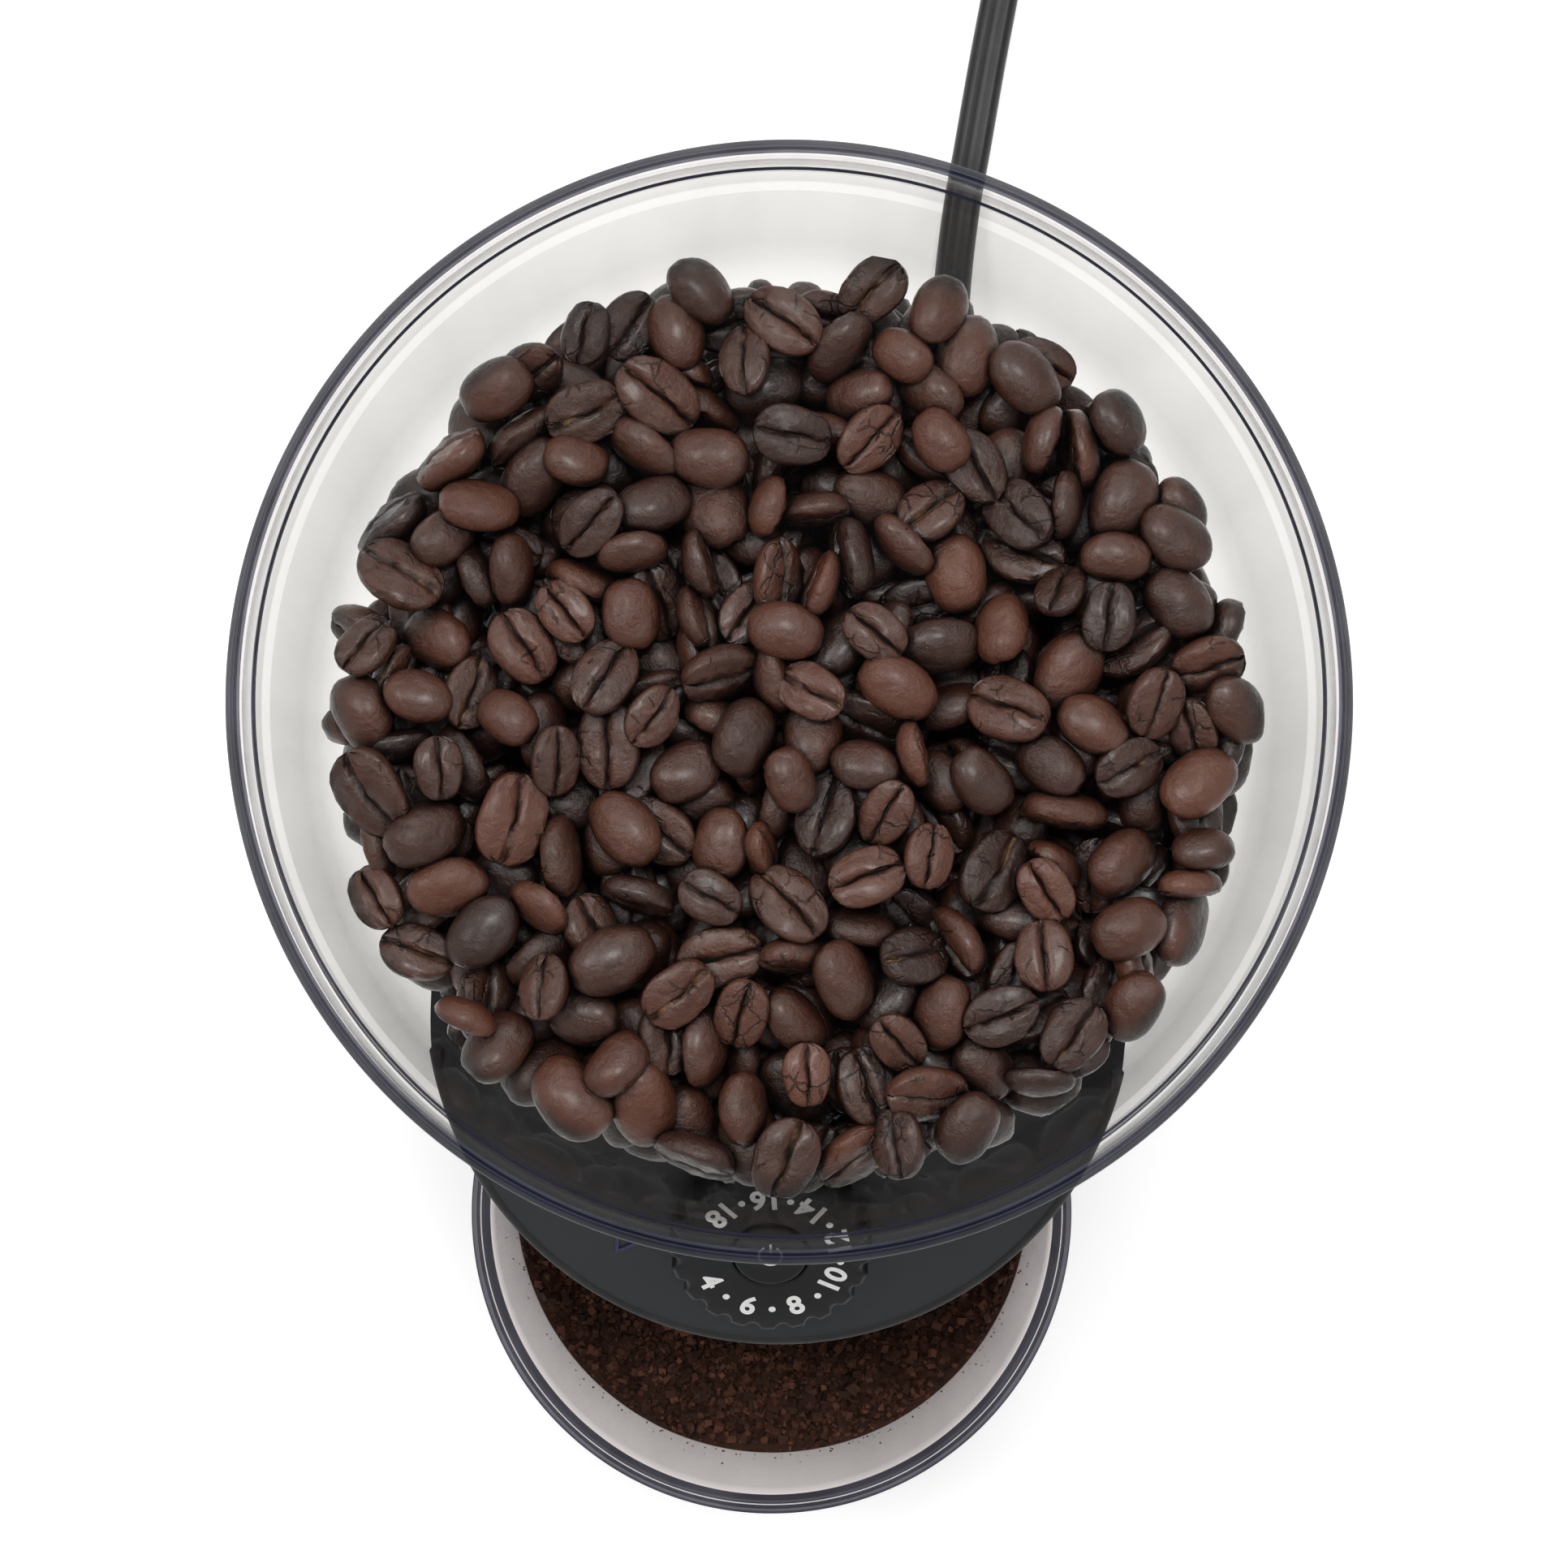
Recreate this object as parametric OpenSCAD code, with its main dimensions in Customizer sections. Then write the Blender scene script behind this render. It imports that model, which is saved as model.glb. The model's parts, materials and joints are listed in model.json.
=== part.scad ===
// Burr coffee grinder: a clear bean hopper on a moulded motor housing, with a
// clear cup for the grounds standing in front under the housing's nose.
// Origin: bottom centre of the grinder without its cord. Front is -Y, up is +Z.

/* [Overall] */
// Height from the table to the top of the lid
total_h = 270; // [255:1:290]
// Depth from the front of the cup to the back of the lid
total_depth = 195; // [186:1:200]
// Outside diameter of the hopper lid
lid_d = 136; // [130:1:140]

/* [Housing] */
// Half width of the housing and radius of its round ends
house_r = 53.5; // [52:0.5:56]
// Distance from the hopper axis forward to the centre of the nose
nose_reach = 41.8; // [40:0.1:44]
// Height of the lower face of the nose
nose_floor_z = 116; // [115:0.5:118]
// Height of the nose's front edge, where the sloped panel starts
nose_edge_z = 132; // [130:0.5:134]
// Slope of the control panel
panel_tilt = 34; // [30:1:36]
// Top face of the housing
house_top_z = 162; // [161:0.5:163]
// Wall of the moulded shells
wall = 2.6; // [2:0.1:3]

/* [Base] */
// Height of the rubber feet
foot_h = 2.5; // [2:0.5:4]
// Top face of the base, where the cup stands
base_top_z = 11; // [11:0.5:12]
// Distance from the cup's front to the base's front
base_set_back = 3.5; // [3:0.5:8]

/* [Cup] */
// Outside diameter of the cup's rim
cup_d = 102; // [98:1:104]
// Height of the cup's rim above the table
cup_rim_z = 110; // [106:0.5:112]
// Distance from the cup's axis back to its flat back wall
cup_back = 32; // [30:0.5:33]
// Height of the ground coffee's surface
grounds_z = 77; // [40:1:95]

/* [Hopper] */
// Outside radius of the hopper's neck
neck_r = 43.5; // [43:0.5:44]
// Height of the bean bed
beans_z = 226; // [200:1:240]
// Wall of the clear hopper
clear_wall = 2; // [1.8:0.1:2.4]

/* [Dial] */
// Radius of the cup-count dial
dial_r = 16; // [14:0.5:18]
// Thickness of the dial
dial_t = 6; // [4:0.5:7]
// Number of grip notches round the dial
dial_notches = 20; // [9:1:36]
// Radius of the start button
button_r = 5.8; // [4.5:0.1:6]

/* [Drive] */
// Outside radius of the burrs
burr_r = 28; // [24:0.5:30]
// Radius of the motor shaft
shaft_r = 4; // [3:0.5:5]
// Radius of the stator stack
stator_r = 30; // [28:0.5:31]

/* [Cord] */
// Width of the flat two-core cord
cord_w = 7.6; // [6:0.1:8]
// Thickness of the flat two-core cord
cord_t = 3.8; // [3:0.1:4]
// Radius at the middle of the coil's turns
coil_r = 42; // [38:0.5:45]

/* [Hidden] */
$fn = 96;

eps = 0.01;
gap = 0.3;
lid_r = lid_d / 2;
cup_r = cup_d / 2;
axis_y = total_depth / 2 - lid_r;
cup_y = cup_r - total_depth / 2;
nose_y = axis_y - nose_reach;
nose_front = nose_y - house_r;
column_y = nose_y;
base_front = base_set_back - total_depth / 2;

// The sloped panel: its height over a given y, and the dial's place on it
dial_y = -46;
function panel_z(y) = nose_edge_z + (y - nose_front) * tan(panel_tilt);
function panel_y(z) = nose_front + (z - nose_edge_z) / tan(panel_tilt);
panel_drop = wall / cos(panel_tilt);

// Feet, posts and screws
foot_r = 8;
foot_places = [[-36, -58], [36, -58], [-36, 62], [36, 62]];
foot_stud_r = 3;
post_ring = 40;
post_angles = [90, 210, 330];
post_r = 5;
case_screw_x = 43;
case_screw_zs = [24, 140];
boss_r = 4.5;

// Motor stack, bottom to top
fan_z = 14.5;
fan_h = 7.5;
fan_r = 28;
bracket_t = 3;
low_bracket_z = 26;
up_bracket_z = 93;
hub_r = 11;
hub_h = 5;
bearing_r = 8;
stack_z = 42;
stack_h = 36;
rotor_r = 19;
bore_gap = 0.5;
mount_top_z = 114;

// Grinding chamber, bottom to top
chamber_r = 38;
chamber_wall = 2.5;
chamber_floor_z = mount_top_z;
chamber_top_z = house_top_z - wall - 0.4;
carrier_z = 118;
carrier_t = 6;
burr_t = 6;
burr_bore = 14;
burr_gap = 0.8;
low_burr_z = carrier_z + carrier_t;
up_burr_z = low_burr_z + burr_t + burr_gap;
holder_z = up_burr_z + burr_t;
holder_top_z = 158;
throat_r = 15;
outlet_w = 24;
outlet_top_z = 131;
spout_y = -33;
spout_l = 17;

// Hopper levels
neck_z = house_top_z + 0.5;
bowl_z = 178;
bowl_h = 44;
bowl_r = lid_r - 2;
collar_r = 50;
collar_h = 14;
lip_z = total_h - 12;
lip_top_z = total_h - 5;
lip_out = lid_r - 1.2;
lip_in = lid_r - 2.6;
lid_wall = 0.9;

// Cup levels
cup_bottom_z = base_top_z + gap;
cup_floor = 2.5;
cup_wall = 2;
plunger_z = 104.5;
cup_in_top = cup_r - 3.6;
cup_in_low = cup_r - 6;
rim_h = 4;

// Cord route: exit, strain relief, lead, coil, tail and plug
relief_x = 30;
relief_z = 20;
relief_back = 97.3;
lead_route = [[30, 97.3, 20], [30, 106, 19.9], [30, 114, 18.8], [30.1, 122, 16.2], [30.4, 130, 12.2],
    [31, 138, 8.2], [31.9, 147, 4.6], [32.9, 155, 2.7], [34, 162, 2], [36.7, 181, 2], [38.8, 194.5, 2],
    [42, 215, 2], [44.6, 230, 2], [46.5, 242.4, 2]];
coil_place = [5, 249];
coil_turns = 2.29;
tail_route = [[0.6, 290.8, 10.8], [-18, 287.5, 9.6], [-35, 279, 7.4], [-48, 267, 6.6], [-57, 252, 7]];
plug_yaw = 155;
plug_l = 30;
plug_w = 24;
plug_h = 14;
blade_l = 17;
cord_sides = 10;

function unit(v) = v / norm(v);
function along(route, i) = unit(route[min(i + 1, len(route) - 1)] - route[max(i - 1, 0)]);
function across(route, i) = unit(cross(along(route, i), [0, 0, 1]));
function ring_point(route, i, a) = route[i] + across(route, i) * cord_w / 2 * cos(a)
    + cross(across(route, i), along(route, i)) * cord_t / 2 * sin(a);

// ---- shared shapes ----
module at_axis(z) {
    translate([0, axis_y, z]) children();
}

module on_panel(x = 0, up = 0) {
    translate([0, dial_y, panel_z(dial_y)]) rotate([panel_tilt, 0, 0]) translate([x, up, 0]) children();
}

module ring(r_out, r_in, h) {
    difference() {
        cylinder(r = r_out, h = h);
        translate([0, 0, -eps]) cylinder(r = r_in, h = h + 2 * eps);
    }
}

// A round-ended outline from the nose or base circle back to the hopper axis
module long_outline(front_y, r) {
    translate([0, front_y]) circle(r = r);
    translate([0, axis_y]) circle(r = r);
    translate([-r, front_y]) square([2 * r, axis_y - front_y]);
}

// A slab of a side outline, given in y and z, across the whole width
module side_slab(points) {
    rotate([90, 0, 90]) translate([0, 0, -house_r - 1]) linear_extrude(2 * house_r + 2) polygon(points);
}

module screw(shank_r, shank_l, head_r, head_h) {
    cylinder(r = shank_r, h = shank_l, $fn = 32);
    translate([0, 0, shank_l]) difference() {
        cylinder(r = head_r, h = head_h, $fn = 32);
        translate([0, 0, head_h / 2]) cube([head_r * 1.1, head_r / 3, head_h + eps], center = true);
        translate([0, 0, head_h / 2]) cube([head_r / 3, head_r * 1.1, head_h + eps], center = true);
    }
}

module posts(z, h, r) {
    for (a = post_angles)
        at_axis(z) rotate([0, 0, a]) translate([post_ring, 0, 0]) cylinder(r = r, h = h, $fn = 48);
}

module cord_tube(route) {
    n = len(route);
    m = cord_sides;
    points = [for (i = [0:n - 1]) for (k = [0:m - 1]) ring_point(route, i, k * 360 / m)];
    sides = [for (i = [0:n - 2]) for (k = [0:m - 1])
        [i * m + k, (i + 1) * m + k, (i + 1) * m + (k + 1) % m, i * m + (k + 1) % m]];
    start_cap = [[for (k = [0:m - 1]) k]];
    end_cap = [[for (k = [m - 1:-1:0]) (n - 1) * m + k]];
    polyhedron(points = points, faces = concat(sides, start_cap, end_cap));
}

// ---- housing ----
module base_plate() {
    rib = 3;
    plate = 2.5;
    slots = 16;
    color("#33363a") difference() {
        union() {
            difference() {
                translate([0, 0, foot_h]) linear_extrude(base_top_z - foot_h)
                    long_outline(base_front + house_r, house_r);
                translate([0, 0, foot_h - eps]) linear_extrude(base_top_z - foot_h - plate)
                    long_outline(base_front + house_r, house_r - rib);
            }
            for (p = foot_places)
                translate([p[0], p[1], foot_h]) cylinder(r = foot_r + 1, h = base_top_z - foot_h - plate + eps);
            posts(foot_h, low_bracket_z - foot_h, post_r);
        }
        for (p = foot_places)
            translate([p[0], p[1], foot_h - eps]) cylinder(r = foot_stud_r, h = 4, $fn = 48);
        for (i = [0:slots - 1])
            at_axis(base_top_z - plate - 1) rotate([0, 0, i * 360 / slots]) translate([12, -1.25, 0])
                cube([14, 2.5, plate + 2]);
        for (a = post_angles)
            at_axis(foot_h - eps) rotate([0, 0, a]) translate([post_ring, 0, 0]) {
                cylinder(r = 1.5, h = low_bracket_z, $fn = 32);
                cylinder(r = 3.4, h = 4, $fn = 32);
            }
    }
}

module rubber_feet() {
    color("#1b1b1c") for (p = foot_places) translate([p[0], p[1], 0]) {
        cylinder(r = foot_r, h = foot_h);
        cylinder(r = foot_stud_r, h = foot_h + 4 - eps, $fn = 48);
    }
}

module front_housing() {
    spout_gap = 0.1;
    color("#404346") difference() {
        union() {
            difference() {
                intersection() {
                    translate([0, 0, base_top_z]) linear_extrude(house_top_z) long_outline(nose_y, house_r);
                    side_slab([[nose_front - 1, nose_floor_z], [column_y, nose_floor_z],
                        [column_y, base_top_z], [axis_y, base_top_z], [axis_y, house_top_z],
                        [panel_y(house_top_z), house_top_z], [nose_front - 1, panel_z(nose_front - 1)]]);
                }
                intersection() {
                    linear_extrude(2 * house_top_z) long_outline(nose_y, house_r - wall);
                    side_slab([[nose_front, nose_floor_z + wall], [column_y + wall, nose_floor_z + wall],
                        [column_y + wall, base_top_z - 1], [axis_y + 1, base_top_z - 1],
                        [axis_y + 1, house_top_z - wall],
                        [panel_y(house_top_z - wall + panel_drop), house_top_z - wall],
                        [nose_front, panel_z(nose_front) - panel_drop]]);
                }
            }
            for (x = [-case_screw_x, case_screw_x]) for (z = case_screw_zs)
                translate([x, axis_y, z]) rotate([90, 0, 0]) cylinder(r = boss_r, h = 18, $fn = 48);
            for (side = [-1, 1]) for (z = case_screw_zs)
                translate([side * (case_screw_x + 5), axis_y - 9, z]) cube([10 - wall, 18, 3], center = true);
        }
        at_axis(house_top_z - wall - 1) cylinder(r = neck_r + 0.5, h = wall + 2);
        for (x = [-case_screw_x, case_screw_x]) for (z = case_screw_zs)
            translate([x, axis_y + eps, z]) rotate([90, 0, 0]) cylinder(r = 1.5, h = 14, $fn = 32);
        on_panel() translate([0, 0, -wall - 2]) cylinder(r = 4.5, h = wall + 4);
        translate([-outlet_w / 2 - spout_gap, spout_y - spout_gap, nose_floor_z - 1])
            cube([outlet_w + 2 * spout_gap, spout_l + 2 * spout_gap, wall + 2]);
        translate([0, column_y + wall + 1, plunger_z]) rotate([90, 0, 0]) cylinder(r = 2.8, h = wall + 2, $fn = 48);
    }
}

module rear_cover() {
    slots = 9;
    slot_pitch = 8;
    color("#404346") difference() {
        union() {
            difference() {
                at_axis(base_top_z) cylinder(r = house_r, h = house_top_z - base_top_z);
                at_axis(base_top_z - 1) cylinder(r = house_r - wall, h = house_top_z - base_top_z - wall + 1);
            }
            for (x = [-case_screw_x, case_screw_x]) for (z = case_screw_zs)
                intersection() {
                    translate([x, axis_y, z]) rotate([-90, 0, 0]) cylinder(r = boss_r, h = 40, $fn = 48);
                    at_axis(0) cylinder(r = house_r - 1, h = house_top_z);
                }
        }
        translate([-100, axis_y - 100, 0]) cube([200, 100, 200]);
        at_axis(house_top_z - wall - 1) cylinder(r = neck_r + 0.5, h = wall + 2);
        for (x = [-case_screw_x, case_screw_x]) for (z = case_screw_zs)
            translate([x, axis_y - 1, z]) rotate([-90, 0, 0]) {
                cylinder(r = 1.6, h = 60, $fn = 32);
                translate([0, 0, 11]) cylinder(r = 3.3, h = 60, $fn = 32);
            }
        translate([relief_x, axis_y + 10, relief_z]) rotate([-90, 0, 0]) cylinder(r = 6, h = 60, $fn = 48);
        for (i = [0:slots - 1])
            translate([-17, axis_y + 20, 48 + i * slot_pitch]) cube([34, 60, 3.4]);
    }
}

module hopper_collar() {
    marks = 19;
    step = 10;
    color("#2e3134") difference() {
        union() {
            at_axis(house_top_z) cylinder(r1 = collar_r, r2 = collar_r - 1.5, h = collar_h);
            for (i = [0:marks - 1])
                at_axis(house_top_z + 2) rotate([0, 0, -90 + (i - (marks - 1) / 2) * step / 1.5])
                    translate([collar_r - 2, -0.5, 0]) cube([2.4, 1, i % 3 == 0 ? 8 : 5]);
        }
        at_axis(house_top_z - 1) cylinder(r = neck_r + 0.5, h = collar_h + 2);
    }
}

module case_screws() {
    color("#9a9da1") for (x = [-case_screw_x, case_screw_x]) for (z = case_screw_zs)
        translate([x, axis_y - 12, z]) rotate([-90, 0, 0]) screw(1.5, 22, 3, 2.4);
}

module base_screws() {
    color("#9a9da1") for (a = post_angles)
        at_axis(foot_h + 3.9) rotate([0, 0, a]) translate([post_ring, 0, 0]) mirror([0, 0, 1])
            translate([0, 0, -16]) screw(1.5, 16, 3, 2.4);
}

// ---- motor ----
module bracket(z, hub_low) {
    at_axis(z) difference() {
        union() {
            cylinder(r = 16, h = bracket_t);
            translate([0, 0, hub_low]) cylinder(r = hub_r, h = hub_h);
            for (a = post_angles) rotate([0, 0, a]) {
                translate([hub_r + 1, -4, 0]) cube([post_ring - hub_r - 1, 8, bracket_t]);
                translate([post_ring, 0, 0]) cylinder(r = 5.5, h = bracket_t);
            }
        }
        translate([0, 0, -hub_h]) cylinder(r = bearing_r, h = 3 * hub_h);
    }
}

module lower_motor_bracket() {
    color("#b4b7ba") bracket(low_bracket_z, -2);
}

module upper_motor_bracket() {
    color("#b4b7ba") bracket(up_bracket_z, 0);
}

module bearing() {
    difference() {
        cylinder(r = bearing_r, h = hub_h);
        translate([0, 0, -eps]) cylinder(r = shaft_r + 0.03, h = hub_h + 1);
        translate([0, 0, hub_h - 0.5]) ring(bearing_r - 1.6, shaft_r + 1.4, 1);
        translate([0, 0, -0.5]) ring(bearing_r - 1.6, shaft_r + 1.4, 1);
    }
}

module lower_bearing() {
    color("#c9ccd0") at_axis(low_bracket_z - 2) bearing();
}

module upper_bearing() {
    color("#c9ccd0") at_axis(up_bracket_z) bearing();
}

module motor_pillars() {
    color("#a7aaad") posts(low_bracket_z + bracket_t, up_bracket_z - low_bracket_z - bracket_t, 3);
}

module stator_core() {
    ear = 6;
    grooves = 6;
    color("#6e6a66") at_axis(stack_z) difference() {
        union() {
            cylinder(r = stator_r, h = stack_h);
            for (a = post_angles) rotate([0, 0, a]) {
                translate([stator_r - 4, -ear, 0]) cube([post_ring - stator_r + 4, 2 * ear, stack_h]);
                translate([post_ring, 0, 0]) cylinder(r = ear, h = stack_h);
            }
        }
        translate([0, 0, -eps]) cylinder(r = rotor_r + bore_gap, h = stack_h + 1);
        for (a = post_angles)
            rotate([0, 0, a]) translate([post_ring, 0, -eps]) cylinder(r = 3, h = stack_h + 1, $fn = 48);
        for (i = [0:grooves - 1])
            translate([0, 0, (i + 0.5) * stack_h / grooves]) ring(stator_r + 20, stator_r - 0.5, 0.6);
    }
}

module field_coils() {
    coil_out = 27.5;
    coil_in = rotor_r + 1.5;
    coil_h = 6;
    color("#b0633a") at_axis(0) for (z = [stack_z - coil_h, stack_z + stack_h]) translate([0, 0, z])
        rotate_extrude() translate([coil_in, 0]) {
            translate([0, 1]) square([coil_out - coil_in, coil_h - 2]);
            translate([1, 0]) square([coil_out - coil_in - 2, coil_h]);
        }
}

module brush_holders() {
    reach = 16;
    color("#b98c3c") at_axis(0) for (a = [0, 180]) rotate([0, 0, a]) {
        translate([13, -4, 85]) cube([reach, 8, 8 - eps]);
        translate([10.4, -2.5, 86]) cube([4, 5, 4]);
    }
}

module rubber_mounts() {
    low = up_bracket_z + bracket_t;
    color("#202021") posts(low, mount_top_z - low, 5);
}

// ---- grinding chamber ----
module grinding_chamber() {
    color("#d8d5cc") difference() {
        union() {
            at_axis(chamber_floor_z) cylinder(r = chamber_r, h = chamber_top_z - chamber_floor_z);
            at_axis(chamber_top_z - 3) cylinder(r = neck_r, h = 3);
            posts(chamber_floor_z, 4, 5.5);
        }
        at_axis(chamber_floor_z + 3) cylinder(r = chamber_r - chamber_wall, h = 60);
        at_axis(chamber_floor_z - 1) cylinder(r = 9, h = 6);
        translate([-outlet_w / 2, axis_y - chamber_r - 2, nose_floor_z + wall + 0.4])
            cube([outlet_w, 20, outlet_top_z - nose_floor_z - wall - 0.4]);
    }
}

module shaft_seal() {
    color("#7d3b2c") at_axis(chamber_floor_z) ring(9, shaft_r + 0.08, 3);
}

module grounds_chute() {
    back_y = axis_y - chamber_r - 0.5;
    floor_z = nose_floor_z + wall + 0.4;
    below = 2;
    t = 1.6;
    color("#2b2d30") difference() {
        union() {
            translate([-outlet_w / 2 - t, spout_y, floor_z])
                cube([outlet_w + 2 * t, back_y - spout_y, outlet_top_z - floor_z]);
            translate([-outlet_w / 2, spout_y, nose_floor_z - below])
                cube([outlet_w, spout_l, floor_z - nose_floor_z + below + 1]);
        }
        translate([-outlet_w / 2 + t, spout_y + t, nose_floor_z - below - 1])
            cube([outlet_w - 2 * t, spout_l - 2 * t, outlet_top_z - nose_floor_z + below + 1 - t]);
        translate([-outlet_w / 2, spout_y + t, floor_z + t])
            cube([outlet_w, 40, outlet_top_z - floor_z - 2 * t]);
    }
}

module control_board() {
    color("#2f6b45") translate([-44.6, 8, 46]) cube([1.6, 40, 36]);
    color("#30343a") for (p = [[14, 54], [28, 54], [14, 72]])
        translate([-43, p[0] + 6, p[1]]) rotate([0, 90, 0]) cylinder(r = 4, h = 5, $fn = 32);
    color("#8a8f96") translate([-43, 34, 64]) cube([3, 10, 14]);
    color("#d8d5cc") for (y = [12, 27]) for (z = [50, 78])
        translate([-house_r + wall, y, z]) rotate([0, 90, 0]) cylinder(r = 2, h = house_r - wall - 44.6, $fn = 32);
}

module timer_unit() {
    color("#c8c4b8") on_panel() translate([0, 0, -wall - 0.4 - 14.5]) difference() {
        union() {
            cylinder(r = 12, h = 14.5);
            translate([-15, -4, 12.5]) cube([30, 8, 2]);
        }
        translate([0, 0, 3]) cylinder(r = 4.4, h = 14.5);
    }
}

module cup_switch() {
    color("#26282b") {
        translate([-8, -1, 99]) cube([16, 9, 11]);
        for (x = [-9.5, 7.5]) translate([x, column_y + wall, 100]) cube([2, 9 - column_y - wall, 9]);
    }
}

module dial_pointer() {
    color("#23264a") on_panel(x = -23.2, up = -3.4) difference() {
        cylinder(r = 3, h = 0.3, $fn = 3);
        translate([0, 0, -eps]) cylinder(r = 1.9, h = 1, $fn = 3);
    }
}

module strain_relief() {
    inner_y = 60;
    color("#161617") translate([relief_x, inner_y, relief_z]) rotate([-90, 0, 0]) difference() {
        rotate_extrude() polygon([[0, 0], [8, 0], [8, 3], [5.8, 3], [5.8, 18], [7, 18], [7, 20],
            [5.6, 22], [4.6, relief_back - inner_y], [0, relief_back - inner_y]]);
        for (i = [0:2])
            translate([0, 0, 24.5 + i * 4.2]) difference() {
                cylinder(r = 9, h = 1.6);
                translate([0, 0, -eps]) cylinder(r = 4.3, h = 2);
            }
    }
}

// ---- rotor ----
module motor_shaft() {
    color("#c4c7cb") at_axis(16) cylinder(r = shaft_r, h = low_burr_z + 6 - 16);
}

module rotor_core() {
    teeth = 12;
    color("#5d5a58") at_axis(stack_z) difference() {
        cylinder(r = rotor_r, h = stack_h);
        translate([0, 0, -eps]) cylinder(r = shaft_r, h = stack_h + 1);
        for (i = [0:teeth - 1])
            rotate([0, 0, i * 360 / teeth]) translate([rotor_r - 1.5, -0.9, -eps]) cube([3, 1.8, stack_h + 1]);
    }
}

module rotor_windings() {
    color("#b5683c") at_axis(0) for (z = [stack_z - 5, stack_z + stack_h])
        translate([0, 0, z]) ring(15, shaft_r, 5);
}

module commutator() {
    bars = 24;
    color("#b87b45") at_axis(stack_z + stack_h + 5.3) difference() {
        cylinder(r = 10, h = 7.5);
        translate([0, 0, -eps]) cylinder(r = shaft_r, h = 10);
        for (i = [0:bars - 1])
            rotate([0, 0, i * 360 / bars]) translate([9.4, -0.25, -eps]) cube([2, 0.5, 9]);
    }
}

module cooling_fan() {
    blades = 9;
    color("#1f2124") at_axis(fan_z) difference() {
        union() {
            cylinder(r = 9, h = fan_h);
            translate([0, 0, fan_h - 1.5]) cylinder(r = fan_r, h = 1.5);
            for (i = [0:blades - 1])
                rotate([0, 0, i * 360 / blades]) translate([7, -0.8, 0]) rotate([0, 0, 12])
                    cube([fan_r - 9, 1.6, fan_h - 1]);
        }
        translate([0, 0, 1.5]) cylinder(r = shaft_r, h = 20);
        translate([0, 0, -eps]) cylinder(r = shaft_r - 1, h = 20);
    }
}

module burr_carrier() {
    wipers = 4;
    color("#d9d9d6") at_axis(carrier_z) difference() {
        union() {
            cylinder(r = burr_r + 1.5, h = carrier_t);
            for (i = [0:wipers - 1])
                rotate([0, 0, i * 360 / wipers]) translate([burr_r - 2, -1.5, 0]) cube([9, 3, carrier_t + 2]);
        }
        translate([0, 0, -eps]) cylinder(r = shaft_r, h = carrier_t + 1);
        translate([0, 0, carrier_t - 1.5]) cylinder(r = burr_r + 0.02, h = 10);
    }
}

module burr(thick, up) {
    cuts = 24;
    difference() {
        cylinder(r = burr_r, h = thick);
        translate([0, 0, -eps]) cylinder(r = burr_bore, h = thick + 1);
        for (i = [0:cuts - 1])
            rotate([0, 0, i * 360 / cuts]) translate([burr_bore - 3, -0.6, up ? thick - 1.2 : -1]) rotate([0, 0, 18])
                cube([burr_r - burr_bore + 8, 1.2, 2.2]);
    }
}

module lower_burr() {
    color("#9fa3a8") at_axis(low_burr_z - 1.5) burr(burr_t + 1.5, true);
}

module burr_nut() {
    color("#c2a24d") at_axis(low_burr_z - 1.5) difference() {
        union() {
            cylinder(r = 8, h = 2);
            translate([0, 0, 2]) cylinder(r = 6.6, h = 5, $fn = 6);
        }
        translate([0, 0, -eps]) cylinder(r = shaft_r, h = 20);
    }
}

// ---- hopper side ----
module burr_holder() {
    color("#2a2c2f") at_axis(holder_z) difference() {
        union() {
            cylinder(r = chamber_r - chamber_wall - 0.8, h = holder_top_z - holder_z);
            for (a = [0, 180]) rotate([0, 0, a]) translate([26, 0, 0])
                cylinder(r = 2, h = 165 - holder_z, $fn = 48);
        }
        translate([0, 0, -eps]) cylinder(r = throat_r, h = 60);
        translate([0, 0, holder_top_z - holder_z - 6]) cylinder(r1 = throat_r, r2 = 21, h = 6 + eps);
    }
}

module upper_burr() {
    color("#9fa3a8") at_axis(up_burr_z) burr(burr_t, false);
}

// Half outlines of the hopper's bowl: outside and inside
bowl_steps = 10;
function bowl_out(i) = let (t = i * 90 / bowl_steps)
    [neck_r + (bowl_r - neck_r) * sin(t), bowl_z + bowl_h * (1 - cos(t))];
function bowl_in(i) = let (t = i * 90 / bowl_steps)
    [neck_r - 2.5 + (bowl_r - clear_wall - neck_r + 2.5) * sin(t),
    bowl_z + 2.4 + (bowl_h - 2.4) * (1 - cos(t))];
function bean_edge(i) = bowl_in(i) - [0.5, -0.3];

module hopper() {
    color([0.75, 0.78, 0.82, 0.35]) at_axis(0) difference() {
        rotate_extrude($fn = 128) polygon(concat(
            [[16.5, neck_z], [neck_r, neck_z]],
            [for (i = [0:bowl_steps]) bowl_out(i)],
            [[bowl_r + 0.3, lip_z - 2], [lip_out, lip_z], [lip_out, lip_top_z], [lip_in, lip_top_z],
            [lip_in, lip_z + 0.5], [bowl_r - clear_wall + 0.5, lip_z - 0.5]],
            [for (i = [bowl_steps:-1:0]) bowl_in(i)],
            [[19, 168.5], [16.5, 167]]));
        for (a = [0, 180]) rotate([0, 0, a]) translate([26, 0, neck_z - 1]) cylinder(r = 2.4, h = 4.5, $fn = 48);
    }
}

module coffee_beans() {
    crown = 3;
    color("#3b2520") at_axis(0) rotate_extrude($fn = 64) polygon(concat(
        [[0, 168.5], [15, 168.5], [18.5, 169.5]],
        [for (i = [0:bowl_steps]) bean_edge(i)],
        [[bowl_r - clear_wall - 0.5, beans_z], [bowl_r * 0.7, beans_z + crown * 0.6], [0, beans_z + crown]]));
}

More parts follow.
